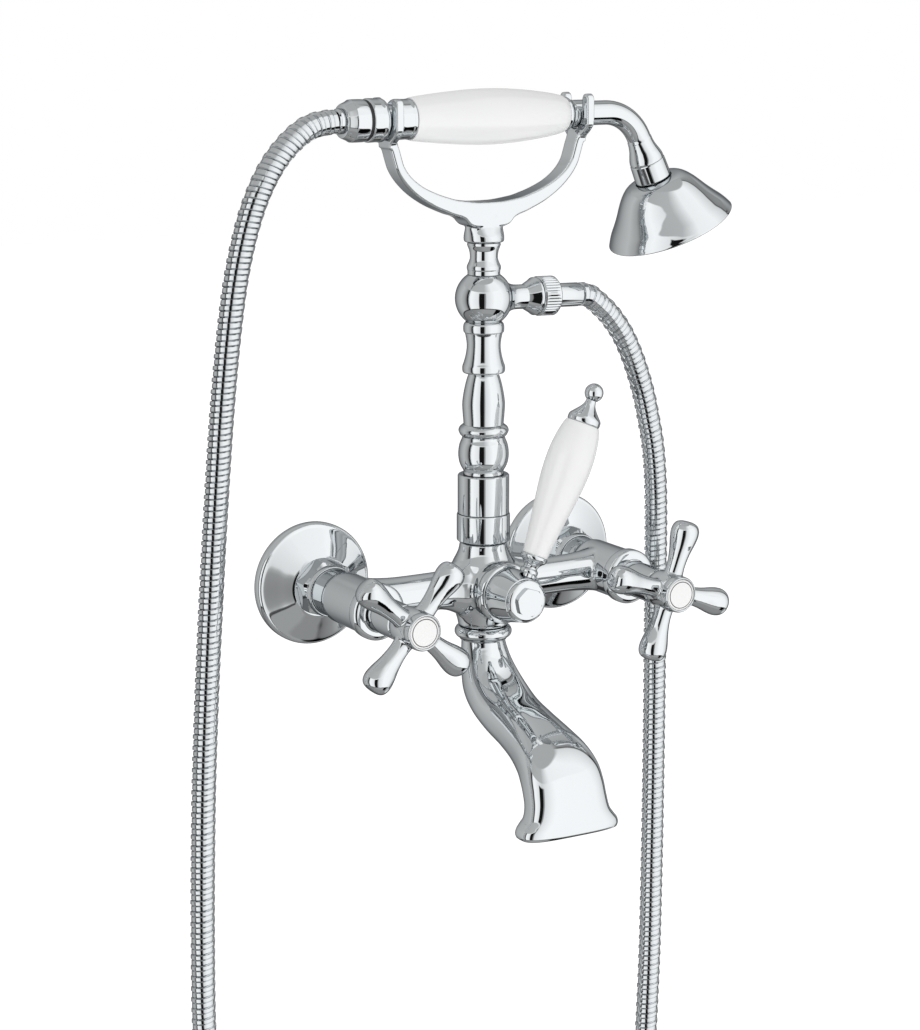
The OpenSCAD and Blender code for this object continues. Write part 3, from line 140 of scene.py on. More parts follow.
def soften(points, radius=0.35, closed=True, steps=5, least=math.radians(24)):
    """Rounds each corner with an arc: the arc's control point is the corner, and it starts and
    ends at the same distance on both sides. Gives the points and their outline directions."""
    p = np.asarray(points, float)
    keep = np.linalg.norm(p - np.roll(p, 1, axis=0), axis=1) > 1e-6
    p = p[keep] if closed else np.vstack([p[:1], p[1:][keep[1:]]])
    n = len(p)
    out = []
    way = []
    for i in range(n):
        before = p[i] - p[i - 1]
        after = p[(i + 1) % n] - p[i]
        lb, la = np.linalg.norm(before), np.linalg.norm(after)
        ub, ua = before / lb, after / la
        turn = math.acos(max(-1.0, min(1.0, float(ub @ ua))))
        end = not closed and i in (0, n - 1)
        if end or turn < least:
            mean = ua if (end and i == 0) else ub if end else ub * la + ua * lb
            out.append(p[i])
            way.append(unit(mean))
            continue
        cut = min(radius * math.tan(turn / 2), SIDE_SHARE * lb, SIDE_SHARE * la)
        for t in np.linspace(0, 1, steps + 1):
            a, b = p[i] - ub * cut, p[i] + ua * cut
            out.append((1 - t) ** 2 * a + 2 * t * (1 - t) * p[i] + t ** 2 * b)
            way.append(unit((1 - t) * ub + t * ua))
    return np.array(out), np.array(way)


# %% From arrays to a Blender object
def place_of(origin, x_axis, y_axis, z_axis):
    """A 3 x 4 placing: local millimetres to the model's metres, heights lowered by the throw."""
    m = np.zeros((3, 4))
    m[:, 0], m[:, 1], m[:, 2] = x_axis, y_axis, z_axis
    m[:, 3] = np.asarray(origin, float) + (0, 0, -THROW)
    return m


def put(points, place):
    """Local points in millimetres placed in the model, in metres."""
    return (np.asarray(points) @ place[:, :3].T + place[:, 3]) * MM


def shown(name, mesh):
    """A mesh with smooth faces as an object in the scene, at the origin."""
    mesh.polygons.foreach_set("use_smooth", [True] * len(mesh.polygons))
    piece = bpy.data.objects.new(name, mesh)
    bpy.context.scene.collection.objects.link(piece)
    return piece


def make_mesh(name, points, faces, normals=None, crease=math.radians(35)):
    """An object from arrays. Without given normals, edges above the crease angle stay sharp."""
    mesh = bpy.data.meshes.new(name)
    mesh.from_pydata(np.asarray(points).tolist(), [], [tuple(f) for f in faces])
    piece = shown(name, mesh)
    if normals is None:
        mesh.set_sharp_from_angle(angle=crease)
    else:
        mesh.normals_split_custom_set_from_vertices(np.asarray(normals).tolist())
    return piece


def joined(parts):
    """Several pairs of points and faces as one pair."""
    points, faces, base = [], [], 0
    for part_points, part_faces in parts:
        points.append(part_points)
        faces += [[i + base for i in f] for f in part_faces]
        base += len(part_points)
    return np.vstack(points), faces


def grid_faces(rows, columns, wrap_rows, wrap_columns, base=0):
    """Quads of a grid whose points are numbered row by row."""
    i = np.arange(rows if wrap_rows else rows - 1)
    j = np.arange(columns if wrap_columns else columns - 1)
    i, j = np.meshgrid(i, j, indexing="ij")
    i2, j2 = (i + 1) % rows, (j + 1) % columns
    row, row2 = i * columns, i2 * columns
    return np.stack([row + j, row + j2, row2 + j2, row2 + j], axis=-1).reshape(-1, 4) + base


def capped(rings, first, last):
    """A stack of rings closed by one pole point at each end, pole points first."""
    rows, sides = rings.shape[:2]
    k = np.arange(sides)
    k2 = (k + 1) % sides
    end = 2 + (rows - 1) * sides
    faces = grid_faces(rows, sides, False, True, base=2).tolist()
    faces += np.stack([2 + k2, 2 + k, 0 * k], axis=1).tolist()
    faces += np.stack([end + k, end + k2, 0 * k + 1], axis=1).tolist()
    return np.vstack([[first], [last], rings.reshape(-1, 3)]), faces


# %% The revolve
SIDES = 96


def bored(outline, bore):
    """The closed outline of a turned ring: the outside, then straight down through its bore."""
    outline = np.asarray(outline, float)
    return np.vstack([outline, [[bore, outline[-1, 1]], [bore, outline[0, 1]]]])


def shell(outline, wall, front=()):
    """The closed outline of a thin shell: the outside, the front's own points, then the outside
    moved inwards by the wall, where inwards is minus the outward normal (dz, -dr)."""
    p = np.asarray(outline, float)
    d = np.gradient(p, axis=0)
    n = np.stack([d[:, 1], -d[:, 0]], axis=1) / np.linalg.norm(d, axis=1)[:, None]
    inner = p - wall * n
    inner[:, 1] = np.clip(inner[:, 1], p[:, 1].min(), p[:, 1].max())
    parts = [p, np.asarray(front, float)] if len(front) else [p]
    return np.vstack(parts + [inner[::-1]])


def revolved(outline, ring=False, sides=SIDES, radius=0.35):
    """Points (r cos a, r sin a, z) of an outline carried round the z axis. A ring's outline is
    closed on itself; any other is closed on the axis. Gives points, faces and normals."""
    outline = np.asarray(outline, float)
    if ring:
        r, z = outline.T
        area = np.sum(r * np.roll(z, -1) - np.roll(r, -1) * z)
        p, way = soften(outline[::-1] if area < 0 else outline, radius, closed=True)
    else:
        if outline[0, 1] > outline[-1, 1]:
            outline = outline[::-1]
        low, high = [[0.0, outline[0, 1]]], [[0.0, outline[-1, 1]]]
        outline = outline[outline[:, 0] > 1e-6]
        p, way = soften(np.vstack([low, outline, high]), radius, closed=False)
    a = 2 * math.pi * np.arange(sides) / sides
    c, s = np.cos(a)[None, :], np.sin(a)[None, :]
    r, z = p[:, 0:1], p[:, 1:2]
    points = np.stack([r * c, r * s, z + 0 * c], axis=-1)
    # The outline runs upwards on the outside, so its outward normal is (dz, -dr)
    nr, nz = way[:, 1:2], -way[:, 0:1]
    normals = np.stack([nr * c, nr * s, nz + 0 * c], axis=-1)
    if ring:
        faces = grid_faces(len(p), sides, True, True).tolist()
        return points.reshape(-1, 3), faces, normals.reshape(-1, 3)
    points, faces = capped(points[1:-1], points[0, 0], points[-1, 0])
    normals = np.vstack([[[0, 0, -1.0]], [[0, 0, 1.0]], normals[1:-1].reshape(-1, 3)])
    return points, faces, normals


def solid(outline, place, sides=SIDES):
    """A turned solid as placed points and faces."""
    points, faces, _ = revolved(outline, False, sides)
    return put(points, place), faces


# %% Where things are drawn
X, Y, Z = np.eye(3)
AT_RISER = place_of((0, -REACH, 0), X, Y, Z)
UNDER_RISER = place_of((0, -REACH, 0), X, -Y, -Z)
AT_CENTRE, AT_HOT, AT_COLD = (place_of((x, 0, 0), X, Z, -Y) for x in (0, -CENTRES / 2, CENTRES / 2))
ALONG_HANDSET = place_of((0, -REACH, HANDSET_Z), -Z, Y, X)
sin_l, cos_l = math.sin(LEVER_LEAN), math.cos(LEVER_LEAN)
ON_LEVER = place_of((0, -LEVER_Y, 0), (cos_l, 0, -sin_l), Y, (sin_l, 0, cos_l))
sin_d, cos_d = math.sin(OUTLET_DROOP), math.cos(OUTLET_DROOP)
ALONG_OUTLET = place_of((0, -REACH, TEE_Z), (-sin_d, 0, -cos_d), Y, (cos_d, 0, -sin_d))
sin_n, cos_n = math.sin(NECK_ANGLE), math.cos(NECK_ANGLE)
neck_end = (NECK_STRAIGHT + NECK_BEND_R * sin_n, -REACH,
            HANDSET_Z - NECK_BEND_R + NECK_BEND_R * cos_n)
AT_NECK_END = place_of(neck_end, (-sin_n, 0, -cos_n), Y, (cos_n, 0, -sin_n))
TO_LEFT = place_of((0, -REACH, 0), Z, Y, -X)
TO_RIGHT = place_of((0, -REACH, 0), -Z, Y, X)

# %% From a surface to a finished piece
MADE = {}


def finish_piece(piece, body, *nodes, finish=None):
    """Gives the piece its finish, chrome unless another is named, puts it on its body and hides
    the plain nodes that it stands for."""
    material, slot = finish or (CHROME, "chrome")
    piece.data.materials.append(material)
    if body:
        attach(piece, body)
    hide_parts(*nodes)
    MADE[piece.name] = len(piece.data.polygons)
    print(f"{piece.name}: {MADE[piece.name]} faces")


def dress(node, body, points, faces, normals=None, finish=None, **edges):
    """A piece from arrays that takes over from one node."""
    piece = make_mesh(node + "_skin", points, faces, normals, **edges)
    finish_piece(piece, body, node, finish=finish)
    return piece


def skin(node, body, outline, place, bore=None, ring=False, finish=None, radius=0.35, sides=SIDES):
    """A lathe-turned piece that takes over from one node; with a bore it is a ring round it."""
    if bore:
        outline, ring = bored(outline, bore), True
    points, faces, normals = revolved(outline, ring, sides, radius)
    return dress(node, body, put(points, place), faces, normals @ place[:, :3].T, finish)


# %% [markdown]
# ## Shader maths as expressions
# A small class wraps a socket. Adding, subtracting or multiplying wrapped sockets makes the Math
# node for it, so a material reads like a formula.

# %% Sockets with operators
class Socket:
    """A shader socket that takes part in arithmetic; each operation is one Math node."""

    def __init__(self, tree, link):
        self.tree = tree
        self.link = link

    def node(self, kind, settings=None, values=None, output=0):
        """Any node: its settings are set first, then the values or links of its sockets."""
        n = self.tree.nodes.new(kind)
        for key, value in (settings or {}).items():
            if key == "stops":
                # A new ramp has its two ends already; the others are added where they belong
                ramp = n.color_ramp.elements
                ramp[0].color, ramp[-1].color = value[0][1], value[-1][1]
                for place, colour in value[1:-1]:
                    ramp.new(place).color = colour
            else:
                setattr(n, key, value)
        for key, value in (values or {}).items():
            if isinstance(value, Socket):
                self.tree.links.new(value.link, n.inputs[key])
            else:
                n.inputs[key].default_value = value
        return Socket(self.tree, n.outputs[output])

    def math(self, operation, *values):
        return self.node("ShaderNodeMath", {"operation": operation}, dict(enumerate(values)))

    def vector_math(self, operation, *values):
        """The Vector Math operations whose answer is a number: a distance or a dot product."""
        return self.node("ShaderNodeVectorMath", {"operation": operation}, dict(enumerate(values)), 1)

    def __add__(self, other):
        return self.math("ADD", self, other)

    __radd__ = __add__

    def __sub__(self, other):
        return self.math("SUBTRACT", self, other)

    def __rsub__(self, other):
        return self.math("SUBTRACT", other, self)

    def __mul__(self, other):
        return self.math("MULTIPLY", self, other)

    __rmul__ = __mul__

    def absolute(self):
        return self.math("ABSOLUTE", self)

    def step(self, low, high):
        """0 below low, 1 above high, a straight ramp between."""
        values = {"Value": self, "From Min": low, "From Max": high, "To Min": 0.0, "To Max": 1.0}
        return self.node("ShaderNodeMapRange", {"clamp": True}, values)


def new_material(name, **plain):
    """A Principled material with plain socket values; gives it, its shader and a first socket."""
    material = bpy.data.materials.new(name)
    material.use_nodes = True
    tree = material.node_tree
    shader = tree.nodes["Principled BSDF"]
    for key, value in plain.items():
        shader.inputs[key.replace("_", " ")].default_value = value
    return material, shader, Socket(tree, None)


def feed(shader, key, socket):
    """Links a worked-out value to a socket of a shader."""
    socket.tree.links.new(socket.link, shader.inputs[key])


def clouds(first, scale, detail):
    """Noise from 0 to 1 that is fixed to the piece."""
    place = first.node("ShaderNodeTexCoord", output=3)
    return first.node("ShaderNodeTexNoise", {}, {"Vector": place, "Scale": scale, "Detail": detail})


def tinted(share, low, high):
    """The low colour where the share is 0, the high one where it is 1, and a mix between."""
    values = {0: share, 6: (*low, 1), 7: (*high, 1)}
    return share.node("ShaderNodeMix", {"data_type": "RGBA"}, values, output=2)


def relief(shader, height, strength):
    """A bump whose heights run up to one millimetre."""
    values = {"Strength": strength, "Distance": 0.001, "Height": height}
    feed(shader, "Normal", height.node("ShaderNodeBump", {}, values))


# %% [markdown]
# ## Finishes
# Chrome plate is a mirror with faint polishing marks: the roughness wanders a little, the surface
# waves by a few microns, and the specular tint darkens the metal where it is seen edge on.
# Porcelain is white with a clear glaze. Brass and rubber show only where the tap is open at the
# back or at a seam.

# %% Chrome
def chrome_like(name, colour, rough, rough_spread, wave):
    """Metal whose roughness is rough plus noise times a spread, with a slow faint bump."""
    material, shader, first = new_material(name, Base_Color=(*colour, 1), Metallic=1.0,
                                           Specular_Tint=(0.24, 0.25, 0.26, 1))
    fine = clouds(first, 90.0, 3.0)
    feed(shader, "Roughness", fine * rough_spread + (rough - rough_spread / 2))
    relief(shader, clouds(first, 55.0, 1.0), wave)
    return material


CHROME = chrome_like("chrome_plate", (0.80, 0.83, 0.845), 0.035, 0.03, 0.02)
HOSE_METAL = chrome_like("hose_plate", (0.76, 0.785, 0.80), 0.08, 0.05, 0.03)

# %% Porcelain
PORCELAIN, shader, first = new_material("porcelain_glaze", Roughness=0.22, Coat_Weight=0.6,
                                        Coat_Roughness=0.04, IOR=1.5)
glaze = tinted(clouds(first, 30.0, 2.0), (0.89, 0.895, 0.90), (0.925, 0.925, 0.92))
feed(shader, "Base Color", glaze)
relief(shader, clouds(first, 120.0, 1.0), 0.02)

# %% Brass, rubber and fibre
BRASS, shader, first = new_material("turned_brass", Metallic=1.0)
stain = clouds(first, 45.0, 4.0)
feed(shader, "Base Color", tinted(stain, (0.60, 0.46, 0.22), (0.80, 0.66, 0.36)))
feed(shader, "Roughness", stain * 0.2 + 0.22)

RUBBER, shader, first = new_material("black_rubber", Base_Color=(0.02, 0.02, 0.022, 1))
feed(shader, "Roughness", clouds(first, 300.0, 2.0) * 0.2 + 0.45)

FIBRE, shader, first = new_material("pressed_fibre", Roughness=0.85)
felt = clouds(first, 700.0, 3.0)
feed(shader, "Base Color", tinted(felt, (0.28, 0.15, 0.09), (0.46, 0.30, 0.20)))

# %% [markdown]
# ## White index discs
# The button on each handle is white enamel with one thin dark ring. The ring is a band of the
# distance from the disc's middle, read from the disc's own UV map, so it turns with the handle.

# %% Enamel
RING_SHARE = 0.43
LINE_SHARE = 0.02
ENAMEL, shader, first = new_material("index_enamel", Roughness=0.18, Coat_Weight=0.5,
                                     Coat_Roughness=0.05)
disc_map = first.node("ShaderNodeUVMap", {"uv_map": "disc"})
from_middle = first.vector_math("DISTANCE", disc_map, (0.5, 0.5, 0.0))
ring_line = (from_middle - RING_SHARE).absolute().step(LINE_SHARE, LINE_SHARE * 0.5)
feed(shader, "Base Color", tinted(ring_line, (0.94, 0.94, 0.935), (0.05, 0.05, 0.05)))

# %% [markdown]
# ## The shower hose
# A shower hose is a strip of metal wound into ribs: a broad crest, then a slightly lower band,
# over and over, as one long screw thread. It is a tube on a smooth route. Each ring of points leans
# by one rib for one turn about the hose, so the ribs climb like a thread. The hose must give way
# where the hand shower moves, and it is made in three stretches.

# %% Route of the hose
HOSE_D = 12.4
HOSE_BORE = 9.0
HOSE_ROUTE = [
    (57.4, 139.4), (60.2, 139.25), (64.2, 137.9), (69, 134.3), (76, 128), (84, 118), (90, 107),
    (95, 95), (99, 83), (102, 71), (105, 57), (107, 40), (108, 18), (108.5, -30), (109, -100),
    (109, -180), (108, -250), (104, -320), (93, -384), (70, -432), (34, -464), (-8, -474), (-52, -468),
    (-92, -444), (-124, -404), (-146, -350), (-158, -290), (-163, -230), (-163, -170), (-161, -100),
    (-158, -45), (-154.5, 5), (-150.5, 55), (-146, 103), (-141, 142), (-136, 168), (-129, 191),
    (-120, 209), (-109, 222), (-97, 230), (-84.2, 232)]
RIBS = 263
# One rib: shares of its pitch, and the radius there as a share of the hose's own
BANDS = [(0.02, 0.83), (0.11, 1.0), (0.41, 1.0), (0.50, 0.83), (0.58, 0.935), (0.94, 0.935)]
HOSE_SIDES = 20
# The ribs where one stretch ends and the next begins
LEFT_CUT = 150
TOP_CUT = 214
# A length in millimetres by which places are taken beside the cuts and the hose's end
GIVE = 8.0
# A direction is taken over this length to either side of its place
LOOK = 1.5
# The ribs over which the lean fades out at an end
FADE_RIBS = 3

route = smooth(HOSE_ROUTE, 24)
along = np.concatenate([[0], np.cumsum(np.linalg.norm(np.diff(route, axis=0), axis=1))])
RIB_PITCH = along[-1] / RIBS
print("hose length in mm:", round(float(along[-1]), 1), "rib pitch:", round(float(RIB_PITCH), 2))


def on_route(distance):
    """Places (x, z) on the route at some distances, and the directions there."""
    at, ahead, behind = (np.stack([np.interp(d, along, route[:, i]) for i in (0, 1)], axis=-1)
                         for d in (distance, distance + LOOK, distance - LOOK))
    way = ahead - behind
    return at, way / np.linalg.norm(way, axis=-1, keepdims=True)


def hose_rings(distance, radius):
    """Rings about the route. A ring's points lean along it by one rib for one turn, which fades out
    at the hose's two ends."""
    s = np.asarray(distance, float)[:, None]
    a = 2 * math.pi * np.arange(HOSE_SIDES)[None, :] / HOSE_SIDES
    fade = np.clip(np.minimum(s, along[-1] - s) / (FADE_RIBS * RIB_PITCH), 0, 1)
    at, way = on_route(s + fade * RIB_PITCH * (a / (2 * math.pi) - 0.5))
    r = np.asarray(radius, float)[:, None]
    return np.stack([at[..., 0] + r * np.cos(a) * way[..., 1], 0 * s - REACH + r * np.sin(a),
                     at[..., 1] - r * np.cos(a) * way[..., 0]], axis=-1) * MM


def hose_stretch(name, first, last, body=None):
    """The hose from one rib to another, closed by its bore."""
    ribs = np.arange(first, last)
    s = [first] + [i + t for i in ribs for t, _ in BANDS] + [last]
    r = [BANDS[0][1]] + [share for _ in ribs for _, share in BANDS] + [BANDS[0][1]]
    outside = hose_rings(np.array(s) * RIB_PITCH, np.array(r) * HOSE_D / 2)
    back = np.linspace(last, first, len(ribs) // 2 + 1) * RIB_PITCH
    inside = hose_rings(back, 0 * back + HOSE_BORE / 2)
    rings = np.concatenate([outside, inside])
    # Along the route a ring turns the other way round, so its faces are turned over
    faces = grid_faces(len(rings), HOSE_SIDES, True, True)[:, ::-1]
    piece = make_mesh(name, rings.reshape(-1, 3), faces.tolist())
    middle, _ = on_route(np.linspace(first, last, 3 * len(ribs)) * RIB_PITCH)
    path = np.stack([middle[:, 0], 0 * middle[:, 0] - REACH, middle[:, 1]], axis=1) * MM
    finish_piece(piece, body, "shower_hose", finish=(HOSE_METAL, "hose_metal"))
    return piece


def hose_place(at, higher):
    """A place on the route, or a little higher or lower, as the model's metres."""
    return (at[0] * MM, -REACH * MM, (at[1] + higher) * MM)


# %% Three stretches of hose
hose_stretch("hose_lower", 0, LEFT_CUT, "mixer")

cuts, _ = on_route(np.array([LEFT_CUT, TOP_CUT]) * RIB_PITCH)
print("stretches meet at (x, z):", cuts.round(1).tolist())
middle_hose = hose_stretch("hose_middle", LEFT_CUT, TOP_CUT)
hose_place(cuts[0], GIVE)
hose_place(cuts[1], -GIVE)
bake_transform(middle_hose)

upper_hose = hose_stretch("hose_upper", TOP_CUT, RIBS)
hose_place(cuts[1], GIVE)
hose_place(route[-1] - (GIVE, 0), 0)
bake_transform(upper_hose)

# %% [markdown]
# ## Castings
# The body, the cross handles and the cradle are castings: plain shapes that run into each other
# with small fillets. They are joined by laying a fine grid of cubes over them, keeping its surface,
# and smoothing that surface until the steps are gone.

# %% Casting
def cast(node, body, parts, voxel, rounds):
    """One smooth closed surface around several closed ones; it takes over from one node."""
    rough = make_mesh(node + "_parts", *joined(parts))
    remesh = rough.modifiers.new("cubes", "REMESH")
    remesh.mode = "VOXEL"
    remesh.voxel_size = voxel * MM
    soft = rough.modifiers.new("smoothing", "SMOOTH")
    soft.factor = 0.5
    soft.iterations = rounds
    bpy.context.view_layer.update()
    graph = bpy.context.evaluated_depsgraph_get()
    mesh = bpy.data.meshes.new_from_object(rough.evaluated_get(graph))
    mesh.name = node + "_skin"
    bpy.data.objects.remove(rough)
    finish_piece(shown(mesh.name, mesh), body, node)


# %% The body
TOWER_R = 13.3
TAIL_R = 12.3
BOSS_R = 14.6
BAR_R = 9.8
BOSSES_R = 16.5
bar = turned([[1.5, 0], [1.48, .15], [1.41, .205], [1.25, .25], [1.11, .295], [1.02, .35], [1, .42],
              [1, .64], [1.03, .74], [1.1, .84], [1.2, .92]], BAR_R, CENTRES / 2, 0, 5)
riser_boss = turned([[1.02, .12], [1.02, .3], [1, .46], [.945, .58], [.86, .69], [.79, .81],
                     [.757, .91], [.752, 1]], BOSSES_R, 23, 0, 5)
spout_boss = np.vstack([turned([[1, .12], [.985, .35], [.92, .6], [.84, .8], [.8, .92]],
                               BOSSES_R, 21.2, 0, 5), [[13.2, 21.2]]])
body_parts = [solid(bar, TO_LEFT), solid(bar, TO_RIGHT), solid(riser_boss, AT_RISER),
              solid(spout_boss, UNDER_RISER), solid([[BOSS_R, REACH - 4], [BOSS_R, 70.05]], AT_CENTRE)]
for place in (AT_HOT, AT_COLD):
    body_parts.append(solid([[TOWER_R, 39], [TOWER_R, 71]], place))
    body_parts.append(solid([[TAIL_R, 24.5], [TAIL_R, 41]], place))
cast("mixer_body", "mixer", body_parts, voxel=0.75, rounds=8)

# %% The cross handles
ARM = turned([[.80, .1], [.66, .28], [.66, .42], [.76, .57], [.92, .71], [1, .82], [.95, .905],
              [.76, .965], [.42, .993], [0, 1]], 7.3, 37, 0, 6)
HUB = turned([[.86, 0], [.93, .06], [1, .2], [1, .55], [.95, .85], [.88, 1]], 9.8, 15.7, 102.3, 5)
ARM_HEIGHT = 111.3
ARM_SIDES = 48
# Degrees past 45 at which each handle was left
HOT_TURN, COLD_TURN = 4.6, 27.4


def cross_handle(side, place, turn):
    """A hub with four drop-shaped arms, the first at 45 degrees and the turn it was left at."""
    parts = [solid(HUB, place)]
    for k in range(4):
        angle = math.radians(45 + turn + 90 * k)
        c, s = math.cos(angle), math.sin(angle)
        # The arm's own x, y and z axes as they lie in the handle
        lie = np.array([(0, 0, -1), (-s, c, 0), (c, s, 0)])
        points, faces, _ = revolved(ARM, False, ARM_SIDES)
        parts.append((put(points @ lie + (0, 0, ARM_HEIGHT), place), faces))
    cast(side + "_handle", side + "_handle", parts, voxel=0.42, rounds=8)


cross_handle("hot", AT_HOT, HOT_TURN)
cross_handle("cold", AT_COLD, COLD_TURN)

# %% [markdown]
# ## Wall plates, nuts and valves
# Each inlet has a wall plate with a rolled rim, a hexagon nut and a valve: a bonnet, then the cross
# handle with its index ring and disc.

# %% Hexagon nuts
def hexagon_piece(outline, flats, turn, ring=True, sides=144):
    """A turned outline cut to a hexagon: the radius is the smaller of the outline's own and that
    of the flat, which is half the width over the cosine of the angle from the flat's middle."""
    points, faces, _ = revolved(outline, ring, sides, radius=0.25)
    x, y, z = points.T
    off = np.mod(np.arctan2(y, x) + math.pi / 6, math.pi / 3) - math.pi / 6
    shrink = np.minimum(flats / 2 / np.cos(off) / np.maximum(np.hypot(x, y), 1e-9), 1.0)
    x, y = x * shrink, y * shrink
    # The corners fall on the outline's own samples, so the piece is turned only now
    c, s = math.cos(turn), math.sin(turn)
    return np.stack([x * c - y * s, x * s + y * c, z], axis=1), faces


def even_normals(piece):
    """Lets the large faces set the normals, so flats reflect as flats."""
    even = piece.modifiers.new("flats", "WEIGHTED_NORMAL")
    even.keep_sharp = True
    even.weight = 100


NUT_FLATS = 27.0
NUT_TURN = 13.0
NUT_BORE = 12.4
NUT_FROM_WALL = 14.15
NUT = [[14.1, 0], [15.59, .6], [15.59, 8.4], [13.5, 9.6], [13.2, 12.2], [12.9, 12.8]]
nut_outline = bored(np.array(NUT) + (0, NUT_FROM_WALL), NUT_BORE)
for side, place, name in ((-1, AT_HOT, "coupling_nut_left"), (1, AT_COLD, "coupling_nut_right")):
    points, faces = hexagon_piece(nut_outline, NUT_FLATS, math.radians(-NUT_TURN * side))
    even_normals(dress(name, "mixer", put(points, place), faces, crease=math.radians(20)))

# %% Wall plates and bonnets
PLATE_WALL = 1.3
PLATE_FRONT = [[15.4, 14], [12.3, 14], [12.3, 12.7]]
PLATE = turned([[.985, 0], [1, .10], [1, .31], [.985, .41], [.96, .46], [.93, .485], [.82, .607],
                [.71, .73], [.6, .852], [.5, .965]], 32.2, 14, 0)
BONNET = np.vstack([turned([[.97, 0], [1, .06], [1, .62], [.975, .78], [.91, .9], [.82, .97], [.68, 1]],
                           14.4, 6.6, 71.15), [[9.8, 78.35], [9.2, 78.95], [9.2, 101.4], [8.6, 102]]])
INDEX_RING = np.vstack([turned([[.97, 0], [1, .1], [1, .55], [.98, .8], [.94, .96], [.9, 1],
                                [.86, .94]], 9.4, 4.45, 118.15),
                        [[8.0, 122.2], [8.0, 120.8], [4.2, 120.8], [4.2, 118.15]]])
DISC_R = 7.9
DISC = turned([[1, 0], [1, .62], [.93, .78], [.7, .9], [.36, .98], [0, 1]], DISC_R, 1.8, 120.85)
for side, place, wall in (("hot", AT_HOT, "left"), ("cold", AT_COLD, "right")):
    skin("rosette_" + wall, "mixer", shell(PLATE, PLATE_WALL, PLATE_FRONT), place, ring=True)
    skin(side + "_bonnet", "mixer", BONNET, place, bore=6.5)
    skin(side + "_index_ring", side + "_handle", INDEX_RING, place, ring=True, radius=0.2)
    disc = skin(side + "_index", side + "_handle", DISC, place, finish=(ENAMEL, "index_disc"), sides=64)
    disc_uv = disc.data.uv_layers.new(name="disc")
    corners = np.empty(len(disc.data.loops), dtype=np.int32)
    disc.data.loops.foreach_get("vertex_index", corners)
    across = revolved(DISC, False, 64)[0][corners, :2] / (2 * DISC_R)
    disc_uv.data.foreach_set("uv", (across + 0.5).ravel())

# %% [markdown]
# ## The diverter
# A drum in the middle carries the lever that sends the water to the spout or the hand shower.

# %% Drum and cap
RING = turned([[.95, 0], [.985, .15], [1, .4], [.99, .7], [.95, .9], [.89, 1]], 15.9, 5.85, 70.2)
DRUM = np.vstack([turned([[1, 0], [1, .12], [.98, .3], [.93, .55], [.87, .8], [.82, 1]],
                         13.8, 15.2, 76.35, 5), [[10.7, 91.85]]])
skin("diverter_ring", "mixer", RING, AT_CENTRE, bore=4.3)
skin("diverter_drum", "diverter_lever", DRUM, AT_CENTRE, bore=4.05)
CAP = turned([[.97, 0], [1, .12], [1, .5], [.97, .75], [.86, .93], [.72, 1]], 11.1, 3.7, 92)
CAP_HEXAGON = [[7.7, 94.5], [7.7, 97.1], [7.1, 97.5]]
hexagon, faces = hexagon_piece(CAP_HEXAGON, flats=13.3, turn=0.2, ring=False)
cap_parts = [solid(CAP, AT_CENTRE), (put(hexagon, AT_CENTRE), faces)]
even_normals(dress("diverter_cap", "diverter_lever", *joined(cap_parts)))

# %% Lever
GLAZED = (PORCELAIN, "porcelain")
FERRULE = turned([[.6, 0], [.66, .06], [.66, .2], [.52, .32], [.56, .45], [.7, .6], [.9, .72],
                  [1, .84], [1, .97], [.95, 1]], 7, 9.85, 13.4, 5)
GRIP = turned([[.53, 0], [.56, .02], [.61, .1], [.72, .25], [.86, .42], [.96, .56], [1, .68],
               [.985, .79], [.9, .9], [.8, .97], [.74, 1]], 12, 70.85, 23.4, 6)
ROD_BORE = 2.55
skin("lever_rod", "diverter_lever", [[2.5, 5.2], [2.5, 100.4]], ON_LEVER, sides=48)
skin("lever_ferrule", "diverter_lever", FERRULE, ON_LEVER, bore=ROD_BORE)
skin("lever_grip", "diverter_lever", GRIP, ON_LEVER, bore=ROD_BORE, finish=GLAZED)
NECKING = turned([[.96, 0], [1, .06], [1, .22], [.93, .32], [.72, .48], [.5, .66], [.36, .82], [.3, 1]],
                 8.5, 12.4, 94.4, 5)
BALL_R = 4.8
BALL_Z = 111.0
ball_from = math.asin(NECKING[-1, 0] / BALL_R)
ball = [[BALL_R * math.sin(t), BALL_Z - BALL_R * math.cos(t)]
        for t in np.linspace(ball_from, math.pi, 24)]
ball[-1][0] = 0.0
finial = np.vstack([[[ROD_BORE, 94.4]], NECKING[:-1], ball])
skin("lever_finial", "diverter_lever", finial, ON_LEVER)

# %% [markdown]
# ## The riser
# A collar, a sleeve and a turned column stand on the body, and a ball with the hose's outlet is on
# top of it. Above that, a short neck carries the cradle.

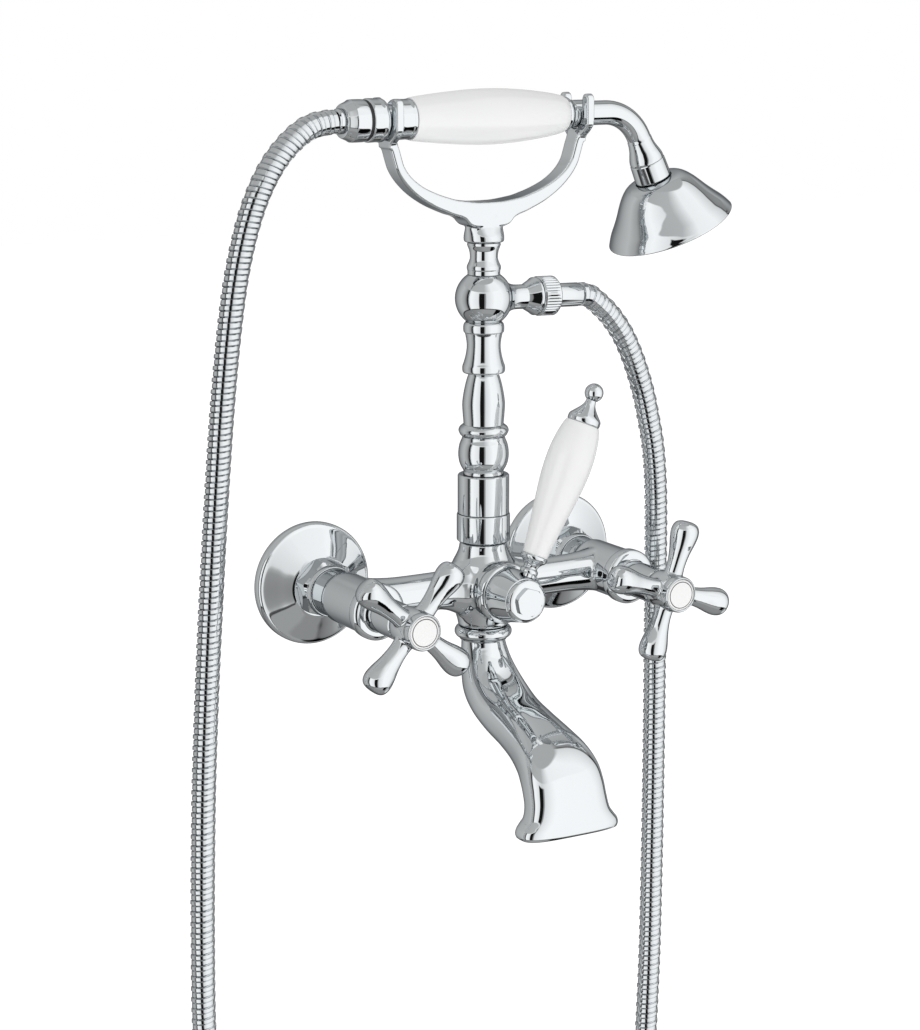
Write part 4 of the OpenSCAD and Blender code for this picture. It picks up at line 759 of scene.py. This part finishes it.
# %% Collar, sleeve and column
WAY_R = 5.5
COLUMN_R = 10.95
COLLAR = [[13.2, 23.6], [13.8, 24.2], [13.8, 37.4], [13.5, 38]]
SLEEVE = [[13, 38.15], [13.3, 38.45], [13.3, 57.95], [12.7, 58.55]]
COLUMN = np.vstack([
    turned([[.80, 0], [.80, .09], [.89, .2], [.955, .31], [.99, .43], [1, .54], [.985, .68],
            [.94, .82], [.87, .93], [.835, 1]], 13, 19.4, 58.7, 5),
    turned([[.84, 0], [.93, .17], [.995, .45], [.985, .65], [.93, .83], [.82, 1]], 12.9, 6.4, 78.1, 5),
    turned([[.94, 0], [.95, .07], [.975, .19], [1, .35], [.99, .46], [.95, .58], [.905, .68],
            [.84, .8], [.77, .9], [.71, .97], [.70, 1]], COLUMN_R, 26.6, 84.5, 5),
    turned([[.94, 0], [.99, .03], [1, .09], [.99, .14], [.925, .22], [.86, .32], [.815, .42],
            [.79, .52], [.8, .62], [.84, .73], [.885, .81]], COLUMN_R, 25.4, 111.1, 5),
    turned([[.91, 0], [.945, .12], [.955, .5], [.93, .8], [.86, 1]], COLUMN_R, 5.416, 131.674, 5)])
skin("riser_collar", "mixer", COLLAR, AT_RISER, bore=WAY_R)
skin("riser_sleeve", "mixer", SLEEVE, AT_RISER, bore=WAY_R)
skin("riser_column", "mixer", COLUMN, AT_RISER, bore=WAY_R, radius=0.2)

# %% Outlet ball
TEE_R = 14.7
BALL_TOP = 161.05
FOOT_R = 9.11
start, stop = math.asin(FOOT_R / TEE_R), math.acos(-(BALL_TOP - TEE_Z) / TEE_R)
globe = [[TEE_R * math.sin(t), TEE_Z - TEE_R * math.cos(t)] for t in np.linspace(start, stop, 40)]
STUB = [[10.2, 9.4], [8.9, 11.6], [7.6, 13.6], [6.8, 15.4], [6.4, 17.4], [6.3, 19.5], [6.3, 23.4],
        [9.2, 28.8], [9.8, 29.4], [9.8, 30.4], [9.2, 31.0], [8.4, 31.05], [8.4, 36]]
tee_parts = [solid([[FOOT_R, 137.24]] + globe, AT_RISER), solid(STUB, ALONG_OUTLET, sides=72)]
dress("outlet_tee", "mixer", *joined(tee_parts))
CRADLE_NECK = turned([[1.16, 0], [1.17, .12], [1.21, .18], [1.2, .27], [1.09, .38], [1, .5], [1, .63],
                      [1.05, .76], [1.15, .88], [1.19, .94], [1.17, 1]], 7.15, 16, 161.2, 5)
skin("cradle_neck", "mixer", CRADLE_NECK, AT_RISER)

# %% Hose nut and ferrule
KNURLS = 40
KNURL_ROOT = 0.955
KNURL_R = 10.15
KNURL_FROM, KNURL_TO = 32.2, 39.7
HOSE_NUT = bored([[9.6, 31.15], [10.2, 31.9], [10.2, 32.35], [10.2, 34], [10.2, 36], [10.2, 38],
                  [10.2, 39.55], [10.2, 40.6], [9.5, 41.35]], 8.5)
points, faces, _ = revolved(HOSE_NUT, True, KNURLS * 6)
angle = np.arctan2(points[:, 1], points[:, 0])
across, height = np.hypot(points[:, 0], points[:, 1]), points[:, 2]
knurled = (across > KNURL_R) & (height > KNURL_FROM) & (height < KNURL_TO)
dip = 1 - (1 - KNURL_ROOT) * (0.5 - 0.5 * np.cos(KNURLS * angle)) * knurled
points = points * np.stack([dip, dip, 1 + 0 * dip], axis=1)
dress("hose_nut", "mixer", put(points, ALONG_OUTLET), faces)
HOSE_FERRULE = [[6.5, 41.5], [6.5, 42.1], [6.2, 42.7], [6.2, 55.8], [5.9, 57]]
skin("hose_ferrule", "mixer", HOSE_FERRULE, ALONG_OUTLET, bore=HOSE_BORE / 2)

# %% [markdown]
# ## The spout
# The spout starts as a round pipe, bends forwards and down, and widens to a flat mouth. Each station
# of it is a super-ellipse with its own place, turn, widths and power, and a smooth curve runs through
# them all. The same stations, drawn in by the wall, make its inside.

# %% Spout
SPOUT_TOP_R = 11.3
SPOUT_OUT = 82.0
SPOUT_TOP = 28.8
SPOUT_DROP = 80.4
MOUTH_W = 56.0
SPOUT_WALL = 2.0
SPOUT_POWER = 3.6
# Each station: shares of the way out and down, degrees of turn, share of the widening, depth
STATIONS = [
    [0, 0, 0, 0, 1], [.012, .062, 8, .04, 1.03], [.043, .16, 22, .13, 1.06],
    [.103, .265, 40, .24, 1.1], [.203, .348, 58, .29, 1.08], [.35, .42, 69, .295, 1.03],
    [.53, .474, 72, .32, 1], [.69, .526, 69, .39, 1], [.825, .586, 57, .5, 1.01],
    [.91, .655, 39, .58, 1.01], [.955, .73, 24, .61, .99], [.982, .81, 14, .635, .95],
    [.994, .88, 6, .71, .92], [1, .92, 0, .85, .9], [1, .95, 0, .96, .89], [1, .98, 0, 1, .89],
    [1, 1, 0, .98, .87]]
SPOUT_SIDES = 128
# Past the last station: shares of the drop, and how far the outline is drawn in
LIP_ROUNDING = [(.006, 0.25), (.009, 0.8), (.009, 1.3)]


def spout_ring(station, inset):
    """One closed outline: x = wide * |cos|^(2/p), depth = deep * |sin|^(2/p), turned by the tilt."""
    out, drop, tilt, widen, depth = station
    a = 2 * math.pi * np.arange(SPOUT_SIDES) / SPOUT_SIDES
    power = 2 + (SPOUT_POWER - 2) * min(1, max(0, widen))
    wide = SPOUT_TOP_R + (MOUTH_W / 2 - SPOUT_TOP_R) * widen - inset
    deep = SPOUT_TOP_R * depth - inset
    u = np.sign(np.cos(a)) * np.abs(np.cos(a)) ** (2 / power) * wide
    v = np.sign(np.sin(a)) * np.abs(np.sin(a)) ** (2 / power) * deep
    turn = math.radians(tilt)
    return np.stack([u, -SPOUT_OUT * out + v * math.cos(turn),
                     -SPOUT_TOP - SPOUT_DROP * drop - v * math.sin(turn)], axis=1)


stations = smooth(STATIONS, 7)
outer = [spout_ring(s, 0.0) for s in stations]
rounding = [spout_ring(stations[-1] + (0, further, 0, 0, 0), inset) for further, inset in LIP_ROUNDING]
inner = [spout_ring(s, SPOUT_WALL) for s in stations[::-1]]
rings = np.array(outer + rounding + inner)
faces = grid_faces(len(rings), SPOUT_SIDES, True, True)[:, ::-1]
dress("spout", "spout", put(rings.reshape(-1, 3), AT_RISER), faces.tolist())
SPOUT_RING = turned([[.86, 0], [.94, .1], [.985, .26], [1, .42], [.985, .6], [.93, .76], [.85, .88],
                     [.82, 1]], 14.9, 7, 21.5, 5)
skin("spout_ring", "mixer", SPOUT_RING, UNDER_RISER, bore=9.45)

# %% [markdown]
# ## The cradle
# A curved strap rises from a round foot to two forked saddles. Its sides are widest over the foot.

# %% Cradle
SADDLE_X = 55.0
SADDLE_HALF_T = 2.05
STRAP_T = 4.8
STRAP_W = 12.0
STRAP_Z = 190.0
SADDLE_FOOT = 227.0
# Shares of the way out and up, and the strap's extra thickness downwards
STRAP = smooth([[0, .151, 1.6], [.12, .155, 1.65], [.19, .165, 1.45], [.23, .173, 1.04],
                [.28, .184, .78], [.375, .21, .62], [.56, .3, .42], [.72, .415, .2], [.84, .555, .05],
                [.913, .7, 0], [.945, .83, 0], [.965, .93, 0], [.986, 1.02, 0], [.998, 1.1, 0]], 6)
# The strap's width at shares of the way out
WIDTHS = np.array([[1.22, 0], [1.22, .12], [1.19, .3], [1.1, .5], [1.02, .68], [1, .8], [1, 1.1]])
CORNER = 1.5


def rounded_box_ring(half_u, top, bottom, corner, steps=5):
    """A rectangle with rounded corners, as offsets (across, up) counted round once."""
    ring = []
    corners = ((half_u, top, 0), (-half_u, top, 90), (-half_u, -bottom, 180), (half_u, -bottom, 270))
    for u, v, start in corners:
        u, v = u - math.copysign(corner, u), v - math.copysign(corner, v)
        for t in np.radians(start + np.linspace(0, 90, steps)):
            ring.append((u + corner * math.cos(t), v + corner * math.sin(t)))
    return np.array(ring)


def strap_half(side):
    """The strap from its middle to one saddle, swept in the riser's plane."""
    x = side * STRAP[:, 0] * SADDLE_X
    z = STRAP_Z + STRAP[:, 1] * (SADDLE_FOOT - STRAP_Z)
    dx, dz = np.gradient(x), np.gradient(z)
    size = np.hypot(dx, dz)
    # The upward normal of the line is its direction turned a quarter, kept pointing up
    nx, nz = -side * dz / size, side * dx / size
    rings = []
    for i in range(len(x)):
        half = np.interp(STRAP[i, 0], WIDTHS[:, 1], WIDTHS[:, 0]) * STRAP_W / 2
        box = rounded_box_ring(half, STRAP_T / 2, STRAP_T / 2 + STRAP[i, 2] * STRAP_T, CORNER)
        rings.append(np.stack([x[i] + box[:, 1] * nx[i], -side * box[:, 0],
                               z[i] + box[:, 1] * nz[i]], axis=1))
    rings = np.array(rings)
    points, faces = capped(rings, rings[0].mean(axis=0), rings[-1].mean(axis=0))
    return put(points, AT_RISER), faces


def saddle(x):
    """A forked saddle: a plate in the y-z plane whose outline goes up round both tines."""
    half, notch, rise, depth = 13.5, 7.5, 10.5, 13
    tine = (half - notch) / 2
    side = turned([[.44, -.03], [.445, .03], [.52, .1], [.74, .19], [.93, .3], [1, .42], [1, .88]],
                  half, rise + depth, HANDSET_Z - depth)
    top = HANDSET_Z + rise - tine
    caps = [[half - tine + tine * math.cos(t), top + tine * math.sin(t)]
            for t in np.linspace(0, math.pi, 9)]
    well = [[notch * math.cos(t), HANDSET_Z - notch * math.sin(t)]
            for t in np.linspace(0, math.pi, 17)]
    right = np.vstack([side, caps])
    left = right[::-1] * (-1, 1)
    outline = np.vstack([right, well, left])
    n = len(outline)
    points = np.vstack([np.column_stack([np.full(n, face), outline])
                        for face in (x - SADDLE_HALF_T, x + SADDLE_HALF_T)])
    k = np.arange(n)
    faces = np.stack([k, (k + 1) % n, (k + 1) % n + n, k + n], axis=1)[:, ::-1].tolist()
    faces += [list(range(n)), list(range(2 * n - 1, n - 1, -1))]
    return put(points, AT_RISER), faces


FOOT = turned([[1.1, 0], [1.2, .04], [1.21, .2], [1.19, .35], [1.19, .6], [1.2, .8], [0, .8]],
              8.51, 18.1, 177.5)
foot_points, foot_faces, _ = revolved(FOOT)
# Upwards the round foot is squeezed to the strap's thickness: a share that eases from 0 to 1
SQUEEZE, SQUEEZE_FROM, SQUEEZE_OVER = 0.28, 179.5, 7.5
ease = np.clip((foot_points[:, 2] - SQUEEZE_FROM) / SQUEEZE_OVER, 0, 1)
foot_points[:, 1] *= 1 - SQUEEZE * ease * ease * (3 - 2 * ease)
cradle_parts = [strap_half(-1), strap_half(1), (put(foot_points, AT_RISER), foot_faces),
                saddle(-SADDLE_X), saddle(SADDLE_X)]
cast("cradle", "cradle", cradle_parts, voxel=0.42, rounds=10)

# %% [markdown]
# ## The hand shower
# The hose's end, its nut and a rubber ring sit at the left. The porcelain grip has a chrome cap at
# each end, and a bent neck leads to the rose.

# %% Hose end and grip
# Each piece: its outline along the grip, and its bore
ALONG_GRIP = {
    "handset_hose_ferrule": ([[5.3, -83.6], [6.2, -83], [6.2, -80.75]], 4.5),
    "handset_hose_nut": (turned([[.72, 0], [.78, .03], [.86, .2], [.94, .36], [.97, .42], [.97, .9],
                                 [.94, 1]], 10.7, 12, -80.6), 5.6),
    "handset_nut": (turned([[.95, 0], [1, .05], [1, .3], [.995, .55], [1.01, .72], [.96, .88],
                            [.82, 1]], 10.7, 9.85, -67.2), 5.0),
    "handset_tube": ([[7.2, -57.3], [7.2, -52.4]], 4.5),
    "grip_end_cap": (turned([[.86, 0], [.97, .08], [1, .2], [.99, .5], [.985, .75], [1, .86], [1, .97],
                             [.97, 1]], 10, 9.4, -52.35), 5.1),
    "handset_grip": (turned([[.745, 0], [.77, .015], [.83, .09], [.91, .22], [.975, .36], [1, .48],
                             [.985, .6], [.92, .74], [.82, .87], [.72, .96], [.66, .99], [.63, 1]],
                            13.9, 89, -42.8, 6), 5.1),
    "grip_front_cap": (turned([[1, 0], [1, .3], [.94, .5], [.84, .7], [.8, 1]], 8.6, 4.6, 46.35), 5.1),
}
for node, (outline, bore) in ALONG_GRIP.items():
    finish = GLAZED if node == "handset_grip" else None
    skin(node, "handset", outline, ALONG_HANDSET, bore=bore, finish=finish)

# %% Bent neck
NECK_R = 6.2
FLARE_LENGTH = 12.6
FLARE_R = 2.8
arc = np.linspace(0, NECK_ANGLE, 28)
# The straight part, with a small collar at its start
START_X, START_R = [51.1, 51.4, 58.8, 59.1, 59.1, 65.5], [6.6, 6.9, 6.9, 6.6, NECK_R, NECK_R]
neck_x = np.concatenate([START_X, NECK_STRAIGHT + NECK_BEND_R * np.sin(arc)])
neck_z = np.concatenate([[HANDSET_Z] * 6, HANDSET_Z - NECK_BEND_R + NECK_BEND_R * np.cos(arc)])
neck_r = np.concatenate([START_R, 0 * arc + NECK_R])
# The flare: shares of its extra radius and of its length, without the part before its start
FLARE = [[.1, -.08], [.1, .08], [.17, .24], [.36, .44], [.64, .62], [.9, .8], [1, .92], [1, 1]]
FLARE_FROM = 0.03
flare = smooth(FLARE, 4)
flare = flare[flare[:, 1] > FLARE_FROM]
neck_x = np.concatenate([neck_x, neck_end[0] + FLARE_LENGTH * flare[:, 1] * cos_n])
neck_z = np.concatenate([neck_z, neck_end[2] - FLARE_LENGTH * flare[:, 1] * sin_n])
neck_r = np.concatenate([neck_r, NECK_R + FLARE_R * flare[:, 0]])
lean = np.concatenate([[0.0] * 6, arc, 0 * flare[:, 0] + NECK_ANGLE])
turn = 2 * math.pi * np.arange(SIDES) / SIDES
# A ring leans with the neck: its points are centre + r (cos t sin lean, -sin t, cos t cos lean)
lean, neck_r = lean[:, None], neck_r[:, None]
rings = np.stack([neck_x[:, None] + neck_r * np.cos(turn) * np.sin(lean),
                  -REACH - neck_r * np.sin(turn) + 0 * lean,
                  neck_z[:, None] + neck_r * np.cos(turn) * np.cos(lean)], axis=-1)
points, faces = capped(rings, rings[0].mean(axis=0), rings[-1].mean(axis=0))
dress("handset_neck", "handset", (points + (0, 0, -THROW)) * MM, faces)

# %% Rose
ROSE_NUT = [[9, 12.75], [9.3, 13.35], [9.6, 22.55], [9, 23.15]]
ROSE = turned([[.29, 0], [.37, .01], [.45, .04], [.53, .12], [.61, .24], [.685, .38], [.757, .52],
               [.837, .66], [.91, .78], [.96, .88], [.985, .94], [1, .98], [.985, 1]], 33.9, 27.8, 23.3)
ROSE_WALL = 1.5
skin("rose_nut", "handset", ROSE_NUT, AT_NECK_END, bore=6.2)
skin("rose", "handset", shell(ROSE, ROSE_WALL), AT_NECK_END, ring=True, radius=0.5)

# %% Pieces that keep the model's own surface
KEPT = {
    "brass": (BRASS, ["wall_union_left", "wall_union_right", "diverter_cartridge", "diverter_spindle",
                      "hot_headwork", "hot_spindle", "hot_screw",
                      "cold_headwork", "cold_spindle", "cold_screw"]),
    "rubber_seal": (RUBBER, ["riser_o_rings", "spout_o_rings", "handset_o_ring", "rose_gasket"]),
    "fibre_washer": (FIBRE, ["inlet_washers", "hose_washer"]),
    "chrome": (CHROME, ["spray_plate"]),
}
for slot, (material, names) in KEPT.items():
    for name in names:
        plain = NODES[name]
        plain.data.materials.clear()
        plain.data.materials.append(material)

# %% [markdown]
# ## A light tent
# Chrome shows its surroundings and little else. The tap hangs in a tent of soft sheets: a bright one
# to the left of the camera and a wider one to the right, with a dark gap between them where the
# camera stands, grey cloth behind, and a paler ring above and a darker one below. The camera itself
# sees plain white, and pale pieces are lit by a soft white dome that is brighter on top.

# %% Rings of the tent
# Each row is a direction, in degrees to the right of the camera, and how bright chrome looks there.
HORIZON = [(-180, .74), (-150, .64), (-100, .72), (-82, .62), (-74, .46), (-70, .04), (-65, .06),
           (-63, .94), (-50, .97), (0, .82), (45, .98), (80, .97), (110, .88), (120, .82), (122, .04),
           (126, .06), (129, .48), (148, .78), (160, .66), (180, .74)]
ABOVE = [(-180, .72), (-90, .66), (0, .70), (34, .94), (80, .96), (119, .84), (122, .20), (125, .52),
         (150, .66), (180, .72)]
BELOW = [(-180, .48), (-60, .50), (0, .60), (56, .60), (60, .02), (84, .02), (88, .45), (100, .55),
         (119, .88), (146, .88), (156, .15), (168, .44), (180, .48)]
# The gap where the camera stands, as a share of the horizon's brightness
GAP = [(-180, 1), (-20.5, 1), (-19, .01), (1.5, .01), (3, .34), (8, .44), (10, 1), (180, 1)]
OVERHEAD, UNDERFOOT = .66, .54
CHROME_SHARE = 0.85
# Sines of the heights where one ring gives way to the next
GAP_TOP, HORIZON_TOP, ABOVE_TOP, HORIZON_FOOT, BELOW_FOOT = 0.42, 0.50, 0.88, -0.59, -0.83


def light_for(seen):
    """The light that chrome shows as a brightness: the display's curve undone, over its own tint."""
    light = ((seen + 0.055) / 1.055) ** 2.4 if seen > 0.04 else seen / 12.92
    return light / CHROME_SHARE


# %% World
world = bpy.data.worlds.new("tent")
world.use_nodes = True
bpy.context.scene.world = world
tree = world.node_tree
background = tree.nodes["Background"]
first = Socket(tree, None)
ray = first.node("ShaderNodeTexCoord")


def toward(axis):
    """How far the ray goes along an axis: their dot product."""
    return first.vector_math("DOT_PRODUCT", ray, tuple(axis))


flat_back = unit(-np.array([forward[0], forward[1], 0.0]))
azimuth = first.math("ARCTAN2", toward(sideways), toward(flat_back))
round_share = azimuth * (0.5 / math.pi) + 0.5
up = toward((0, 0, 1))


def ring(table, convert=light_for):
    """The brightness round the tent at one height, straight between the table's directions."""
    stops = [((degrees + 180) / 360, (convert(seen),) * 3 + (1.0,)) for degrees, seen in table]
    return first.node("ShaderNodeValToRGB", {"stops": stops}, {"Fac": round_share})


def pass_to(lower, upper, height, softness=0.012):
    """One ring below a height and the other above it."""
    return lower + up.step(height - softness, height + softness) * (upper - lower)


level = ring(HORIZON) * pass_to(ring(GAP, float), 1.0, GAP_TOP)
seen = pass_to(pass_to(level, ring(ABOVE), HORIZON_TOP), light_for(OVERHEAD), ABOVE_TOP)
low = pass_to(light_for(UNDERFOOT), ring(BELOW), BELOW_FOOT)
seen = pass_to(low, seen, HORIZON_FOOT)
# A dark seam where the horizon ring is sewn to the one below it
SEAM_CORE, SEAM_EDGE, SEAM_LIGHT = 0.014, 0.03, 0.15
seam = (up - HORIZON_FOOT).absolute().step(SEAM_CORE, SEAM_EDGE)
seen = seen * (seam * (1 - SEAM_LIGHT) + SEAM_LIGHT)
camera_ray = first.node("ShaderNodeLightPath")
glossy_ray = Socket(tree, camera_ray.link.node.outputs["Is Glossy Ray"])
DOME_FOOT, DOME_RISE = 0.52, 0.30
dome = up.step(-1, 1) * DOME_RISE + DOME_FOOT
colour = glossy_ray * (seen - dome) + dome
colour = camera_ray * (1.0 - colour) + colour
feed(background, "Strength", colour)
background.inputs["Color"].default_value = (1, 1, 1, 1)

# %% Floor and lamp
FLOOR_HALF, FLOOR_Z = 6.0, -0.5
floor_corners = [(x * FLOOR_HALF, y * FLOOR_HALF, FLOOR_Z)
                 for x, y in ((-1, -1), (1, -1), (1, 1), (-1, 1))]
floor = make_mesh("floor", floor_corners, [[0, 1, 2, 3]])
FLOOR, shader, first = new_material("white_floor", Base_Color=(0.9, 0.9, 0.9, 1), Roughness=0.8,
                                    Emission_Color=(1, 1, 1, 1), Emission_Strength=0.45)
floor.data.materials.append(FLOOR)
floor.visible_glossy = False

lamp_data = bpy.data.lights.new("soft_box", "AREA")
lamp_data.size = 1.2
lamp_data.energy = 4.0
lamp = bpy.data.objects.new("soft_box", lamp_data)
lamp.location = (-0.9, -1.1, 1.4)
lamp.rotation_euler = (math.radians(40), math.radians(-22), math.radians(-20))
lamp.visible_glossy = False
bpy.context.scene.collection.objects.link(lamp)
bpy.context.scene.view_settings.view_transform = "Standard"

# %% Sizes and finish
print("pieces:", len(MADE), "faces:", sum(MADE.values()))
print("largest:", sorted(MADE.items(), key=lambda item: -item[1])[:6])
